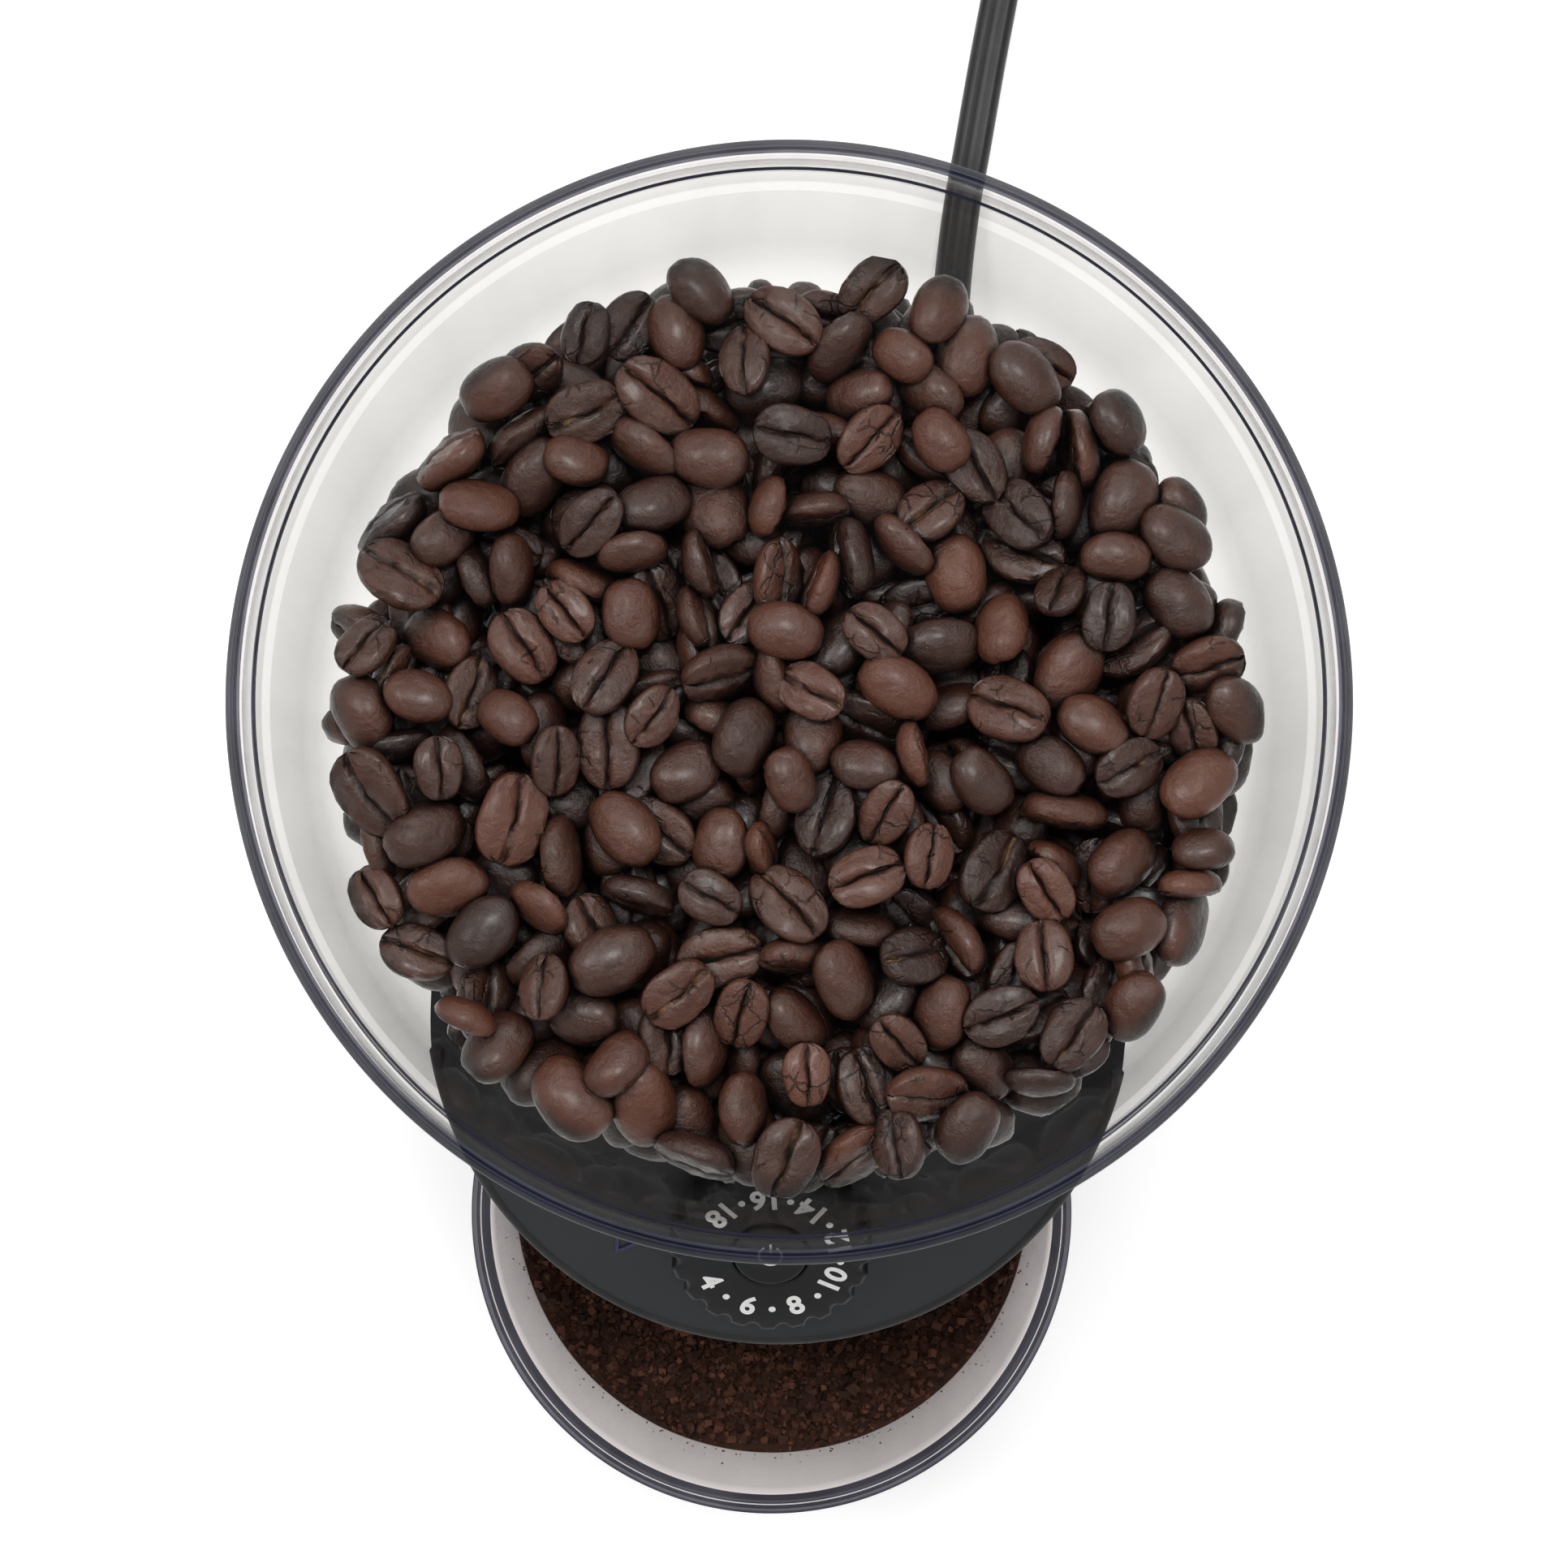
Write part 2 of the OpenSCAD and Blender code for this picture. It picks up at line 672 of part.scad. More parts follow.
module hopper_lid() {
    plate_z = lip_top_z + gap;
    plate_t = 2.3;
    color([0.8, 0.83, 0.87, 0.3]) at_axis(0) rotate_extrude($fn = 128) polygon([
        [0, plate_z], [lid_r - lid_wall, plate_z], [lid_r - lid_wall, plate_z - 6.3],
        [lid_r - 0.3, plate_z - 6.3], [lid_r, plate_z - 6], [lid_r, total_h - 0.6],
        [lid_r - 0.6, total_h], [lid_r - 2, total_h], [lid_r - 2.8, total_h - 0.6],
        [lid_r - 3.4, plate_z + plate_t], [0, plate_z + plate_t]]);
}

module cup_dial() {
    seat = 0.6;
    notch_r = 1.4;
    notch_depth = 1.05;
    color("#26282b") on_panel() difference() {
        union() {
            translate([0, 0, seat]) cylinder(r = dial_r, h = dial_t - 0.8);
            translate([0, 0, seat + dial_t - 0.8]) cylinder(r1 = dial_r, r2 = dial_r - 0.8, h = 0.8);
            translate([0, 0, -11]) cylinder(r = 4, h = 12);
        }
        translate([0, 0, seat + 1.4]) cylinder(r = button_r + 0.35, h = dial_t);
        translate([0, 0, -12]) cylinder(r = 2.4, h = 20, $fn = 48);
        for (i = [0:dial_notches - 1])
            rotate([0, 0, (i + 0.5) * 360 / dial_notches])
                translate([dial_r + notch_r - notch_depth, 0, seat - eps])
                    cylinder(r = notch_r, h = dial_t + 1, $fn = 24);
    }
}

module start_button() {
    under = 4;
    top = 6.9;
    color("#33363a") on_panel() {
        translate([0, 0, under]) cylinder(r = button_r, h = top - under);
        translate([0, 0, -9]) cylinder(r = 2, h = 9 + under + eps, $fn = 48);
    }
}

// ---- cup ----
module cup_back_cut(back) {
    translate([0, cup_y + back, cup_rim_z / 2]) translate([-100, -200, -100]) cube([200, 200, 200]);
}

module grounds_cup() {
    lift = cup_rim_z - rim_h;
    color([0.72, 0.72, 0.78, 0.4]) difference() {
        intersection() {
            translate([0, cup_y, 0]) rotate_extrude($fn = 128) polygon([
                [0, cup_bottom_z], [cup_in_low + cup_wall - 2, cup_bottom_z],
                [cup_in_low + cup_wall, cup_bottom_z + 2],
                [cup_in_top + cup_wall, lift - 1], [cup_r - 0.6, lift - 0.2], [cup_r, lift + 0.4],
                [cup_r, cup_rim_z - 0.6], [cup_r - 0.6, cup_rim_z], [0, cup_rim_z]]);
            cup_back_cut(cup_back);
        }
        intersection() {
            translate([0, cup_y, 0]) rotate_extrude($fn = 128) polygon([
                [0, cup_bottom_z + cup_floor], [cup_in_low - 2, cup_bottom_z + cup_floor],
                [cup_in_low, cup_bottom_z + cup_floor + 2], [cup_in_top, lift],
                [cup_in_top + 0.4, cup_rim_z + 1], [0, cup_rim_z + 1]]);
            cup_back_cut(cup_back - cup_wall);
        }
    }
}

module ground_coffee() {
    low = cup_bottom_z + cup_floor + 0.1;
    edge = cup_in_low + (cup_in_top - cup_in_low) * (grounds_z - low) / (cup_rim_z - rim_h - low) - 0.3;
    color("#2e1c15") intersection() {
        translate([0, cup_y, 0]) rotate_extrude($fn = 64) polygon([
            [0, low], [cup_in_low - 2.6, low], [cup_in_low - 0.4, low + 2],
            [edge, grounds_z], [edge * 0.6, grounds_z + 1], [0, grounds_z + 1.5]]);
        cup_back_cut(cup_back - cup_wall - 0.3);
    }
}

module switch_plunger() {
    tip_y = cup_y + cup_back + gap;
    color("#c9c9c4") {
        translate([0, tip_y, plunger_z]) rotate([-90, 0, 0]) cylinder(r = 2.5, h = -2.4 - tip_y, $fn = 48);
        translate([0, column_y + wall + 0.3, plunger_z]) rotate([-90, 0, 0]) cylinder(r = 4, h = 1.5, $fn = 48);
    }
}

// ---- cord ----
module cord_lead() {
    color("#141415") cord_tube(lead_route);
}

module cord_coil() {
    high = cord_t * (coil_turns + 1);
    color("#141415") translate([coil_place[0], coil_place[1], 0]) rotate_extrude($fn = 96)
        translate([coil_r - cord_w / 2, 0.1]) square([cord_w, high]);
}

module cord_tail() {
    color("#141415") cord_tube(tail_route);
}

module plug() {
    end = tail_route[len(tail_route) - 1];
    color("#161617") translate([end[0], end[1], end[2]]) rotate([0, 0, plug_yaw]) {
        difference() {
            translate([-plug_w / 2, 0, -plug_h / 2]) cube([plug_w, plug_l, plug_h]);
            for (side = [-1, 1]) translate([side * plug_w / 2, 12, -plug_h]) cylinder(r = 3, h = 2 * plug_h);
        }
        for (x = [-6.35, 6.35]) translate([x - 0.75, plug_l - eps, -3.2]) cube([1.5, blade_l, 6.4]);
    }
}

base_plate();
rubber_feet();
front_housing();
rear_cover();
hopper_collar();
case_screws();
base_screws();
lower_motor_bracket();
upper_motor_bracket();
motor_pillars();
lower_bearing();
upper_bearing();
stator_core();
field_coils();
brush_holders();
rubber_mounts();
grinding_chamber();
shaft_seal();
grounds_chute();
control_board();
timer_unit();
cup_switch();
dial_pointer();
strain_relief();
motor_shaft();
rotor_core();
rotor_windings();
commutator();
cooling_fan();
burr_carrier();
lower_burr();
burr_nut();
hopper();
coffee_beans();
burr_holder();
upper_burr();
hopper_lid();
cup_dial();
start_button();
grounds_cup();
ground_coffee();
switch_plunger();
cord_lead();
cord_coil();
cord_tail();
plug();
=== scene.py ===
# %% [markdown]
# # A burr coffee grinder
# The grinder stands on a table: a motor housing with a nose, a clear hopper full of beans on top, and a
# clear cup for the grounds under the nose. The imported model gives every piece's true size and place, so
# each cell below asks it for a box and builds the finished surface there.

# %% Load the frame
import json
import math

import bmesh
import bpy
import numpy as np
from mathutils import Matrix, Vector, noise


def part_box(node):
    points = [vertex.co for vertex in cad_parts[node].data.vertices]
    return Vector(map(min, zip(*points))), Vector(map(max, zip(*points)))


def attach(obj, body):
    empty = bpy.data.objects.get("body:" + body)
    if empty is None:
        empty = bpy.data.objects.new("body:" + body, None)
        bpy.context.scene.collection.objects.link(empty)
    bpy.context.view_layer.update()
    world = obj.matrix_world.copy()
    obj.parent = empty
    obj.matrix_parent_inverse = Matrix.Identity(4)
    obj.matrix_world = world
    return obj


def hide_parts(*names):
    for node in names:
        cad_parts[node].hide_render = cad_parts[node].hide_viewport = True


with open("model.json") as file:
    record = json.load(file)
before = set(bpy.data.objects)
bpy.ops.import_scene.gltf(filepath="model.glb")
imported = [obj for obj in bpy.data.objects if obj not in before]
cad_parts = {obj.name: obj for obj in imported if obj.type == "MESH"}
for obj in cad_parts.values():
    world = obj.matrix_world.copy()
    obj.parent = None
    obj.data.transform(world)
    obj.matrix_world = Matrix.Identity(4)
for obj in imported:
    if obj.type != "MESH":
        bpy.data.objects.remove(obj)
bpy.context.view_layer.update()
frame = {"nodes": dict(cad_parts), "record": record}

MM = 0.001
nodes = frame["nodes"]


# %% [markdown]
# Every length is kept in millimetres while a piece is drawn, as on a maker's drawing, and turned into
# metres when its mesh is made. The places that many pieces share are read from the frame's boxes.

# %% Places shared by many pieces
def span(node):
    """The lowest and highest corner of a CAD node, in millimetres."""
    low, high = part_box(node)
    return np.array(low) / MM, np.array(high) / MM


cup_low, cup_high = span("grounds_cup")
house_low, house_high = span("front_housing")
relief_low, relief_high = span("strain_relief")
TOP_Z = span("hopper_lid")[1][2]
AXIS_Y = house_high[1]
CUP_R = 51.0
CUP_Y = cup_low[1] + CUP_R
HOUSE_R = 53.5
NOSE_Y = house_low[1] + HOUSE_R
print("hopper axis y", round(AXIS_Y, 2), "cup centre y", round(CUP_Y, 2), "top", round(TOP_Z, 2))

# %% [markdown]
# ## Camera
# The camera looks down on the lid from about 380 mm above it, a little in front of the hopper's axis,
# tipped two and a half degrees forward, and turned by two degrees so the cup sits to the left of centre.
# A long lens keeps the lid from hiding the cup.

# %% Camera
CAMERA_X = -0.3
CAMERA_Y = AXIS_Y - 27.4
CAMERA_Z = TOP_Z + 380
CAMERA_TIP = 2.55
CAMERA_TURN = 1.9


def in_scene(name, data):
    """A new object with this data, linked into the scene."""
    obj = bpy.data.objects.new(name, data)
    bpy.context.scene.collection.objects.link(obj)
    return obj


cam_data = bpy.data.cameras.new("camera")
cam_data.lens = 72.67
cam_data.sensor_width = 36
cam_data.clip_start = 0.01
camera = in_scene("camera", cam_data)
camera.matrix_world = (
    Matrix.Translation(Vector((CAMERA_X, CAMERA_Y, CAMERA_Z)) * MM)
    @ Matrix.Rotation(math.radians(CAMERA_TIP), 4, "X")
    @ Matrix.Rotation(math.radians(CAMERA_TURN), 4, "Z")
)
bpy.context.scene.camera = camera
print("camera", [round(v, 4) for v in camera.location])


# %% [markdown]
# ## Small helpers for meshes
# A piece is a list of points and faces. `piece` turns them into an object, smooth shaded where the
# surface is round, and makes it ride on its body.

# %% Making a piece
def piece(name, points, faces, body, finish, smooth_angle, slot, zones=None):
    """A mesh object from points in millimetres, riding on a body, with one finish or several by zone."""
    mesh = bpy.data.meshes.new(name)
    mesh.from_pydata((np.asarray(points, float) * MM).tolist(), [], [list(map(int, f)) for f in faces])
    finishes = finish if isinstance(finish, (list, tuple)) else [finish]
    for f in finishes:
        mesh.materials.append(f)
    if zones is not None:
        mesh.polygons.foreach_set("material_index", np.asarray(zones, np.int32))
    turn_outward(mesh)
    obj = in_scene(name, mesh)
    shade(obj, smooth_angle)
    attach(obj, body)
    return obj


def turn_outward(mesh):
    """Turns all faces outward."""
    b = bmesh.new()
    b.from_mesh(mesh)
    bmesh.ops.recalc_face_normals(b, faces=b.faces)
    b.to_mesh(mesh)
    b.free()
    mesh.update()


def shade(obj, angle):
    """Smooth shading, with edges sharper than the angle kept crisp."""
    mesh = obj.data
    mesh.polygons.foreach_set("use_smooth", [True] * len(mesh.polygons))
    mesh.set_sharp_from_angle(angle=math.radians(angle))


# %% [markdown]
# A turned piece, such as a lid or a hopper, is an outline carried round an axis. `rounded` first gives
# the outline's corners a small radius, because every moulded edge has one and it is what catches light.

# %% Outlines and turned pieces
def rounded(outline, radius, steps=3):
    """A closed outline with each corner replaced by an arc of the radius, or less on a short side."""
    outline = [np.array(p[:2], float) for p in outline]
    sizes = [radius] * len(outline) if np.isscalar(radius) else radius
    made = []
    for i, corner in enumerate(outline):
        before, after = outline[i - 1] - corner, outline[(i + 1) % len(outline)] - corner
        size = min(sizes[i], 0.45 * np.linalg.norm(before), 0.45 * np.linalg.norm(after))
        if size < 0.02 or corner[0] < 1e-6:
            made.append(corner)
            continue
        start = corner + before / np.linalg.norm(before) * size
        end = corner + after / np.linalg.norm(after) * size
        for t in np.linspace(0, 1, steps + 1):
            made.append((1 - t) ** 2 * start + 2 * t * (1 - t) * corner + t**2 * end)
    return made


def lathe(outline, centre_y, steps, zone_of=None):
    """Points, faces and zones of a closed outline of (radius, height) turned round a vertical axis."""
    outline = np.array(outline, float)
    on_axis = outline[:, 0] < 1e-6
    angles = np.arange(steps) * 2 * np.pi / steps
    points, index = [], []
    for (r, z), axis in zip(outline, on_axis, strict=True):
        first = len(points)
        if axis:
            points.append((0, centre_y, z))
            index.append([first] * steps)
        else:
            points += [(r * np.cos(a), centre_y + r * np.sin(a), z) for a in angles]
            index.append(list(range(first, first + steps)))
    faces, zones = [], []
    for i in range(len(outline)):
        j = (i + 1) % len(outline)
        if on_axis[i] and on_axis[j]:
            continue
        middle = (outline[i] + outline[j]) / 2
        zone = zone_of(*middle) if zone_of else 0
        for k in range(steps):
            n = (k + 1) % steps
            ring = [index[i][k], index[i][n], index[j][n], index[j][k]]
            faces.append([v for m, v in enumerate(ring) if v not in ring[:m]])
            zones.append(zone)
    return points, faces, zones


# %% [markdown]
# Other pieces are a row of rings with the same number of points: a cord, a plug, a cup. Their points
# are listed ring after ring, so one rule joins each ring to the next and closes both ends.

# %% Joining rings
def joined(rings, around):
    """The faces of a tube of rings with that many points around, and one face on each end."""
    sides = [(i * around + k, i * around + (k + 1) % around) for i in range(rings - 1) for k in range(around)]
    faces = [[a, b, b + around, a + around] for a, b in sides]
    return [*faces, list(range(around))[::-1], list(range((rings - 1) * around, rings * around))]


# %% [markdown]
# ## Shader helpers
# A finish is a small tree of nodes. `Wire` wraps a socket so that masks can be written as sums and
# products, and `Finish.node` adds any other node: its settings first, then its sockets.

# %% Shader maths
class Wire:
    """A shader socket that Python's arithmetic works on."""

    def __init__(self, finish, socket):
        self.finish, self.socket = finish, socket

    def maths(self, operation, *values):
        return self.finish.node("ShaderNodeMath", {"operation": operation}, dict(enumerate(values)))

    def __add__(self, other):
        return self.maths("ADD", self, other)

    def __radd__(self, other):
        return self.maths("ADD", other, self)

    def __sub__(self, other):
        return self.maths("SUBTRACT", self, other)

    def __rsub__(self, other):
        return self.maths("SUBTRACT", other, self)

    def __mul__(self, other):
        return self.maths("MULTIPLY", self, other)

    def __rmul__(self, other):
        return self.maths("MULTIPLY", other, self)

    def __pow__(self, other):
        return self.maths("POWER", self, other)

    def within(self, low, high):
        """The value taken smoothly from low and high to 0 and 1, and kept between them."""
        sockets = {"Value": self, "From Min": low, "From Max": high}
        return self.finish.node("ShaderNodeMapRange", {"interpolation_type": "SMOOTHSTEP"}, sockets)


class Finish:
    """A material under construction."""

    def __init__(self, name):
        self.material = bpy.data.materials.new(name)
        self.material.use_nodes = True
        self.tree = self.material.node_tree
        self.tree.nodes.clear()
        self.output = self.tree.nodes.new("ShaderNodeOutputMaterial")

    def node(self, kind, settings=None, sockets=None, out=0):
        """Adds a node with its settings, feeds its sockets, and returns one of its outputs as a Wire."""
        made = self.tree.nodes.new(kind)
        for key, value in (settings or {}).items():
            if key == "stops":
                ramp = made.color_ramp.elements
                while len(ramp) < len(value):
                    ramp.new(0.5)
                for element, (place, colour) in zip(ramp, value, strict=True):
                    element.position, element.color = place, (*colour, 1)
            else:
                setattr(made, key, value)
        for key, value in (sockets or {}).items():
            self.feed(made.inputs[key], value)
        return Wire(self, made.outputs[out])

    def feed(self, socket, value):
        if isinstance(value, Wire):
            self.tree.links.new(value.socket, socket)
        elif socket.type == "RGBA" and len(value) == 3:
            socket.default_value = (*value, 1)
        else:
            socket.default_value = value

    def place(self):
        return self.node("ShaderNodeTexCoord", out="Object")

    def noise(self, scale, detail=3.0, roughness=0.5, at=None, out="Factor"):
        """A noise whose features are about 1 / scale metres wide."""
        sockets = {"Vector": at or self.place(), "Scale": scale, "Detail": detail, "Roughness": roughness}
        return self.node("ShaderNodeTexNoise", {}, sockets, out=0 if out == "Factor" else 1)

    def stretched(self, x, y, z):
        """The place on the piece, stretched along the axes."""
        return self.node("ShaderNodeVectorMath", {"operation": "MULTIPLY"}, {0: self.place(), 1: (x, y, z)})

    def kept(self, name):
        """A number that the mesh keeps for each of its points."""
        return self.node("ShaderNodeAttribute", {"attribute_name": name}, out=2)

    def mix(self, factor, a, b):
        """Two colours mixed by a factor."""
        return self.node("ShaderNodeMix", {"data_type": "RGBA"}, {0: factor, 6: a, 7: b}, out=2)

    def bump(self, height, distance, strength, normal=None):
        """A bump of that distance in metres."""
        sockets = {"Height": height, "Distance": distance, "Strength": strength}
        if normal:
            sockets["Normal"] = normal
        return self.node("ShaderNodeBump", {}, sockets)

    def surface(self, **sockets):
        """A Principled shader; names have _ for a space."""
        named = {key.replace("_", " "): value for key, value in sockets.items()}
        return self.node("ShaderNodeBsdfPrincipled", {}, named)

    def see_through(self, factor, tint, wall):
        """Light passing straight through, tinted, with a solid wall mixed in by the factor."""
        through = self.node("ShaderNodeBsdfTransparent", {}, {"Color": tint})
        return self.node("ShaderNodeMixShader", {}, {0: factor, 1: through, 2: wall})

    def done(self, shader):
        self.tree.links.new(shader.socket, self.output.inputs["Surface"])
        return self.material


# %% [markdown]
# ## Moulded plastics
# The housing is charcoal ABS from a spark-eroded mould: a very fine even grain that breaks up the
# highlight, with a soft cloudiness and a few faint rubbed patches. The dial and the base are the same
# material in blacker shades, so one function makes them all.

# %% Moulded plastics
def moulded(name, colour, rough=0.42, grain=2600.0, depth=0.00004, gloss=0.4):
    f = Finish(name)
    cloud = f.noise(38.0, 4.0, 0.6)
    grains = f.noise(grain, 2.0, 0.6)
    rub = f.noise(9.0, 5.0, 0.65).within(0.56, 0.72)
    light = tuple(min(1.0, c * 1.12 + 0.001) for c in colour)
    shade_colour = tuple(c * 0.9 for c in colour)
    base = f.mix(cloud.within(0.3, 0.7), shade_colour, light)
    roughness = rough + 0.1 * grains - 0.07 * rub
    return f.done(f.surface(Base_Color=base, Roughness=roughness, Specular_IOR_Level=gloss,
                            Normal=f.bump(grains + 0.35 * cloud, depth, 0.55)))


housing_finish = moulded("housing_plastic", (0.0215, 0.0235, 0.0265), gloss=0.32)
dark_finish = moulded("dark_plastic", (0.021, 0.0225, 0.025), 0.46)
dial_finish = moulded("dial_plastic", (0.0085, 0.009, 0.0105), 0.42, 3200.0, 0.00002, gloss=0.25)
natural_finish = moulded("natural_plastic", (0.62, 0.6, 0.54), 0.4)
plug_finish = moulded("plug_plastic", (0.012, 0.012, 0.013), 0.5)


# %% [markdown]
# Rubber and the cord's soft PVC are blacker and duller, with a slight dusty bloom.

# %% Rubber and cord
def rubbery(name, colour, rough, grain):
    f = Finish(name)
    dust = f.noise(120.0, 6.0, 0.7).within(0.45, 0.8)
    fine = f.noise(grain, 3.0, 0.6)
    base = f.mix(dust * 0.35, colour, (0.055, 0.055, 0.056))
    bumps = f.bump(fine, 0.00005, 0.4)
    return f.done(f.surface(Base_Color=base, Roughness=rough + 0.12 * fine, Normal=bumps))


rubber_finish = rubbery("rubber", (0.012, 0.012, 0.013), 0.62, 1500.0)
cord_finish = rubbery("cord_rubber", (0.010, 0.010, 0.011), 0.34, 2400.0)

# %% [markdown]
# ## Metals
# Inside are turned steel, cast alloy, lamination steel, brass and enamelled copper. Each gets its tool
# marks: rings on turned parts, a grainy skin on castings, thin stacked lines on the laminations.

# %% Metals
def metal(name, colour, rough, marks=(0.0, 0.0, 1.0), scale=900.0, depth=0.00003, stain=0.25):
    f = Finish(name)
    lines = f.noise(scale, 2.0, 0.5, at=f.stretched(*[0.05 if m == 0 else m for m in marks]))
    dull = f.noise(60.0, 5.0, 0.6).within(0.4, 0.75)
    base = f.mix(dull * stain, colour, tuple(c * 0.5 for c in colour))
    return f.done(f.surface(Base_Color=base, Metallic=1.0, Roughness=rough + 0.16 * lines + 0.1 * dull,
                            Normal=f.bump(lines, depth, 0.5)))


steel_finish = metal("steel", (0.56, 0.57, 0.58), 0.22)
bearing_finish = metal("bearing_steel", (0.7, 0.71, 0.72), 0.12)
burr_finish = metal("burr_steel", (0.43, 0.44, 0.46), 0.26, (1.0, 1.0, 0.0))
alloy_finish = metal("cast_alloy", (0.6, 0.61, 0.62), 0.45, (1.0, 1.0, 1.0), 1400.0, 0.00008)
stack_finish = metal("lamination_steel", (0.16, 0.155, 0.15), 0.42, (0.0, 0.0, 2.4), 1100.0, 0.00012, 0.5)
copper_finish = metal("copper", (0.62, 0.24, 0.1), 0.28, (0.0, 0.0, 2.0), 1300.0, 0.0002, 0.35)
brass_finish = metal("brass", (0.66, 0.48, 0.2), 0.3)


# %% [markdown]
# Two small finishes are left inside: the matted red felt of the dust seal, and the timer's circuit
# board, green with paler tracks.

# %% Felt and circuit board
def felt():
    f = Finish("felt")
    fibres = f.noise(1800.0, 6.0, 0.75)
    base = f.mix(fibres.within(0.3, 0.7), (0.12, 0.03, 0.022), (0.3, 0.1, 0.07))
    return f.done(f.surface(Base_Color=base, Roughness=0.95, Normal=f.bump(fibres, 0.0002, 0.8)))


def circuit():
    f = Finish("circuit_board")
    tracks = f.node(
        "ShaderNodeTexBrick", {"offset": 0.37},
        {"Vector": f.stretched(1, 1, 1), "Scale": 210.0, "Mortar Size": 0.06, "Color1": (0.03, 0.16, 0.07),
         "Color2": (0.025, 0.13, 0.055), "Mortar": (0.06, 0.26, 0.11)},
    )
    return f.done(f.surface(Base_Color=tracks, Roughness=0.3 + 0.1 * f.noise(300.0)))


felt_finish = felt()
circuit_finish = circuit()


# %% [markdown]
# ## Clear plastic
# The hopper, lid and cup are clear styrene-type plastic with a faint smoky tint. A thin clear wall
# mostly lets light straight through, mirrors a little more the flatter it is looked at, and shows its
# tint where it is seen edge on. So the finish mixes a Transparent shader with a dark glossy one, by a
# factor that grows towards the edges, plus the faint flow streaks of a moulding.

# %% Clear plastic
def clear_plastic(name, tint, body_colour, least, most, rough=0.05, streak=0.03, gloss=0.5):
    f = Finish(name)
    facing = f.node("ShaderNodeLayerWeight", {}, {"Blend": 0.35}, out="Facing")
    edge = facing ** 2.2
    streaks = f.noise(90.0, 4.0, 0.6, at=f.stretched(1, 1, 0.1)).within(0.35, 0.75)
    factor = (least + edge * (most - least) + streaks * streak).within(0.0, 1.0)
    wall = f.surface(Base_Color=body_colour, Roughness=rough + 0.1 * streaks, Specular_IOR_Level=gloss)
    return f.done(f.see_through(factor, tint, wall))


HOPPER_TINT = (0.93, 0.922, 0.912)
HOPPER_BODY = (0.028, 0.025, 0.024)
clear_finish = clear_plastic("clear_plastic", HOPPER_TINT, HOPPER_BODY, 0.03, 0.62, gloss=0.09)
lip_finish = clear_plastic("lip_plastic", HOPPER_TINT, HOPPER_BODY, 0.1, 0.72, gloss=0.05)
lid_finish = clear_plastic("lid_plastic", (0.985, 0.985, 0.98), (0.5, 0.5, 0.5), 0.008, 0.3, 0.03, 0.006)
smoky_finish = clear_plastic("smoky_plastic", (0.865, 0.835, 0.83), (0.06, 0.05, 0.05), 0.05, 0.8, gloss=0.28)

# %% [markdown]
# The rims are seen through their whole width, so there they are painted as fine dark and bright
# rings: the dark ones are the tint, darkened by painted reflection of dark surroundings, and the bright
# ones are painted highlights. Each ring is nearly solid and dark, or nearly clear and pale, with its own colour.

# %% Rim edges
def painted_rim_ring(name, colour, clear, tint=(0.8, 0.8, 0.84)):
    """A painted ring on the edge of a clear wall: the tint seen through its whole width, with painted reflection in
    the dark rings and a painted highlight in the bright ones.
    """
    f = Finish(name)
    uneven = f.noise(90.0, 3.0, 0.6, at=f.stretched(1, 1, 0.3))
    base = f.mix(uneven.within(0.3, 0.7), tuple(c * 0.8 for c in colour), tuple(c * 1.2 for c in colour))
    wall = f.surface(Base_Color=base, Roughness=0.3 + 0.1 * uneven, Specular_IOR_Level=0.16)
    return f.done(f.see_through(1.0 - clear - 0.1 * uneven, tint, wall))


# Dark rings: the tint through the rim, darkened by painted reflection of dark surroundings.
edge_finish = painted_rim_ring("lid_edge", (0.011, 0.012, 0.028), 0.03)
edge_grey_finish = painted_rim_ring("lid_edge_grey", (0.03, 0.03, 0.035), 0.08)
# Painted highlight: the bright ring on the lid's and the hopper's rims.
rim_highlight_finish = painted_rim_ring("rim_painted_highlight", (0.25, 0.25, 0.27), 0.9, tint=(0.98, 0.98, 0.98))
cup_edge_finish = painted_rim_ring("cup_edge", (0.01, 0.0095, 0.024), 0.02)
cup_violet_finish = painted_rim_ring("cup_edge_violet", (0.05, 0.047, 0.07), 0.1)
# Painted highlight: the bright line on the cup's rim.
cup_highlight_finish = painted_rim_ring("cup_rim_painted_highlight", (0.34, 0.33, 0.38), 0.6, tint=(0.95, 0.94, 0.96))


# %% [markdown]
# ## Cord
# A flat two-core cord leaves the back of the housing through a ribbed strain relief, drops to the table
# and runs back, bending a little to the right. What isn't in use lies in a neat coil, with the plug
# beside it. The route's points are the design's own, in millimetres; a smooth curve goes through them.

# %% Cord route
LEAD = [(30, 97.3, 20), (30, 106, 19.9), (30, 114, 18.8), (30.1, 122, 16.2), (30.4, 130, 12.2), (31, 138, 8.2),
        (31.9, 147, 4.6), (32.9, 155, 2.7), (34, 162, 2), (36.7, 181, 2), (38.8, 194.5, 2), (42, 215, 2),
        (44.6, 230, 2), (46.5, 242.4, 2)]
TAIL = [(0.6, 290.8, 10.8), (-18, 287.5, 9.6), (-35, 279, 7.4), (-48, 267, 6.6), (-57, 252, 7)]
COIL_CENTRE = (5, 249)
COIL_R = 41.9
COIL_TURNS = 2.29
COIL_START = -9
CORD_T = 3.8


def coil_points(step=6):
    """The middle of the cord round the coil, climbing one thickness a turn."""
    x, y = COIL_CENTRE
    low, high = LEAD[-1][2], TAIL[0][2]
    made = []
    for a in np.arange(step, COIL_TURNS * 360, step):
        angle = math.radians(COIL_START + a)
        rise = (high - low) * a / (COIL_TURNS * 360)
        made.append((x + COIL_R * math.cos(angle), y + COIL_R * math.sin(angle), low + rise))
    return made


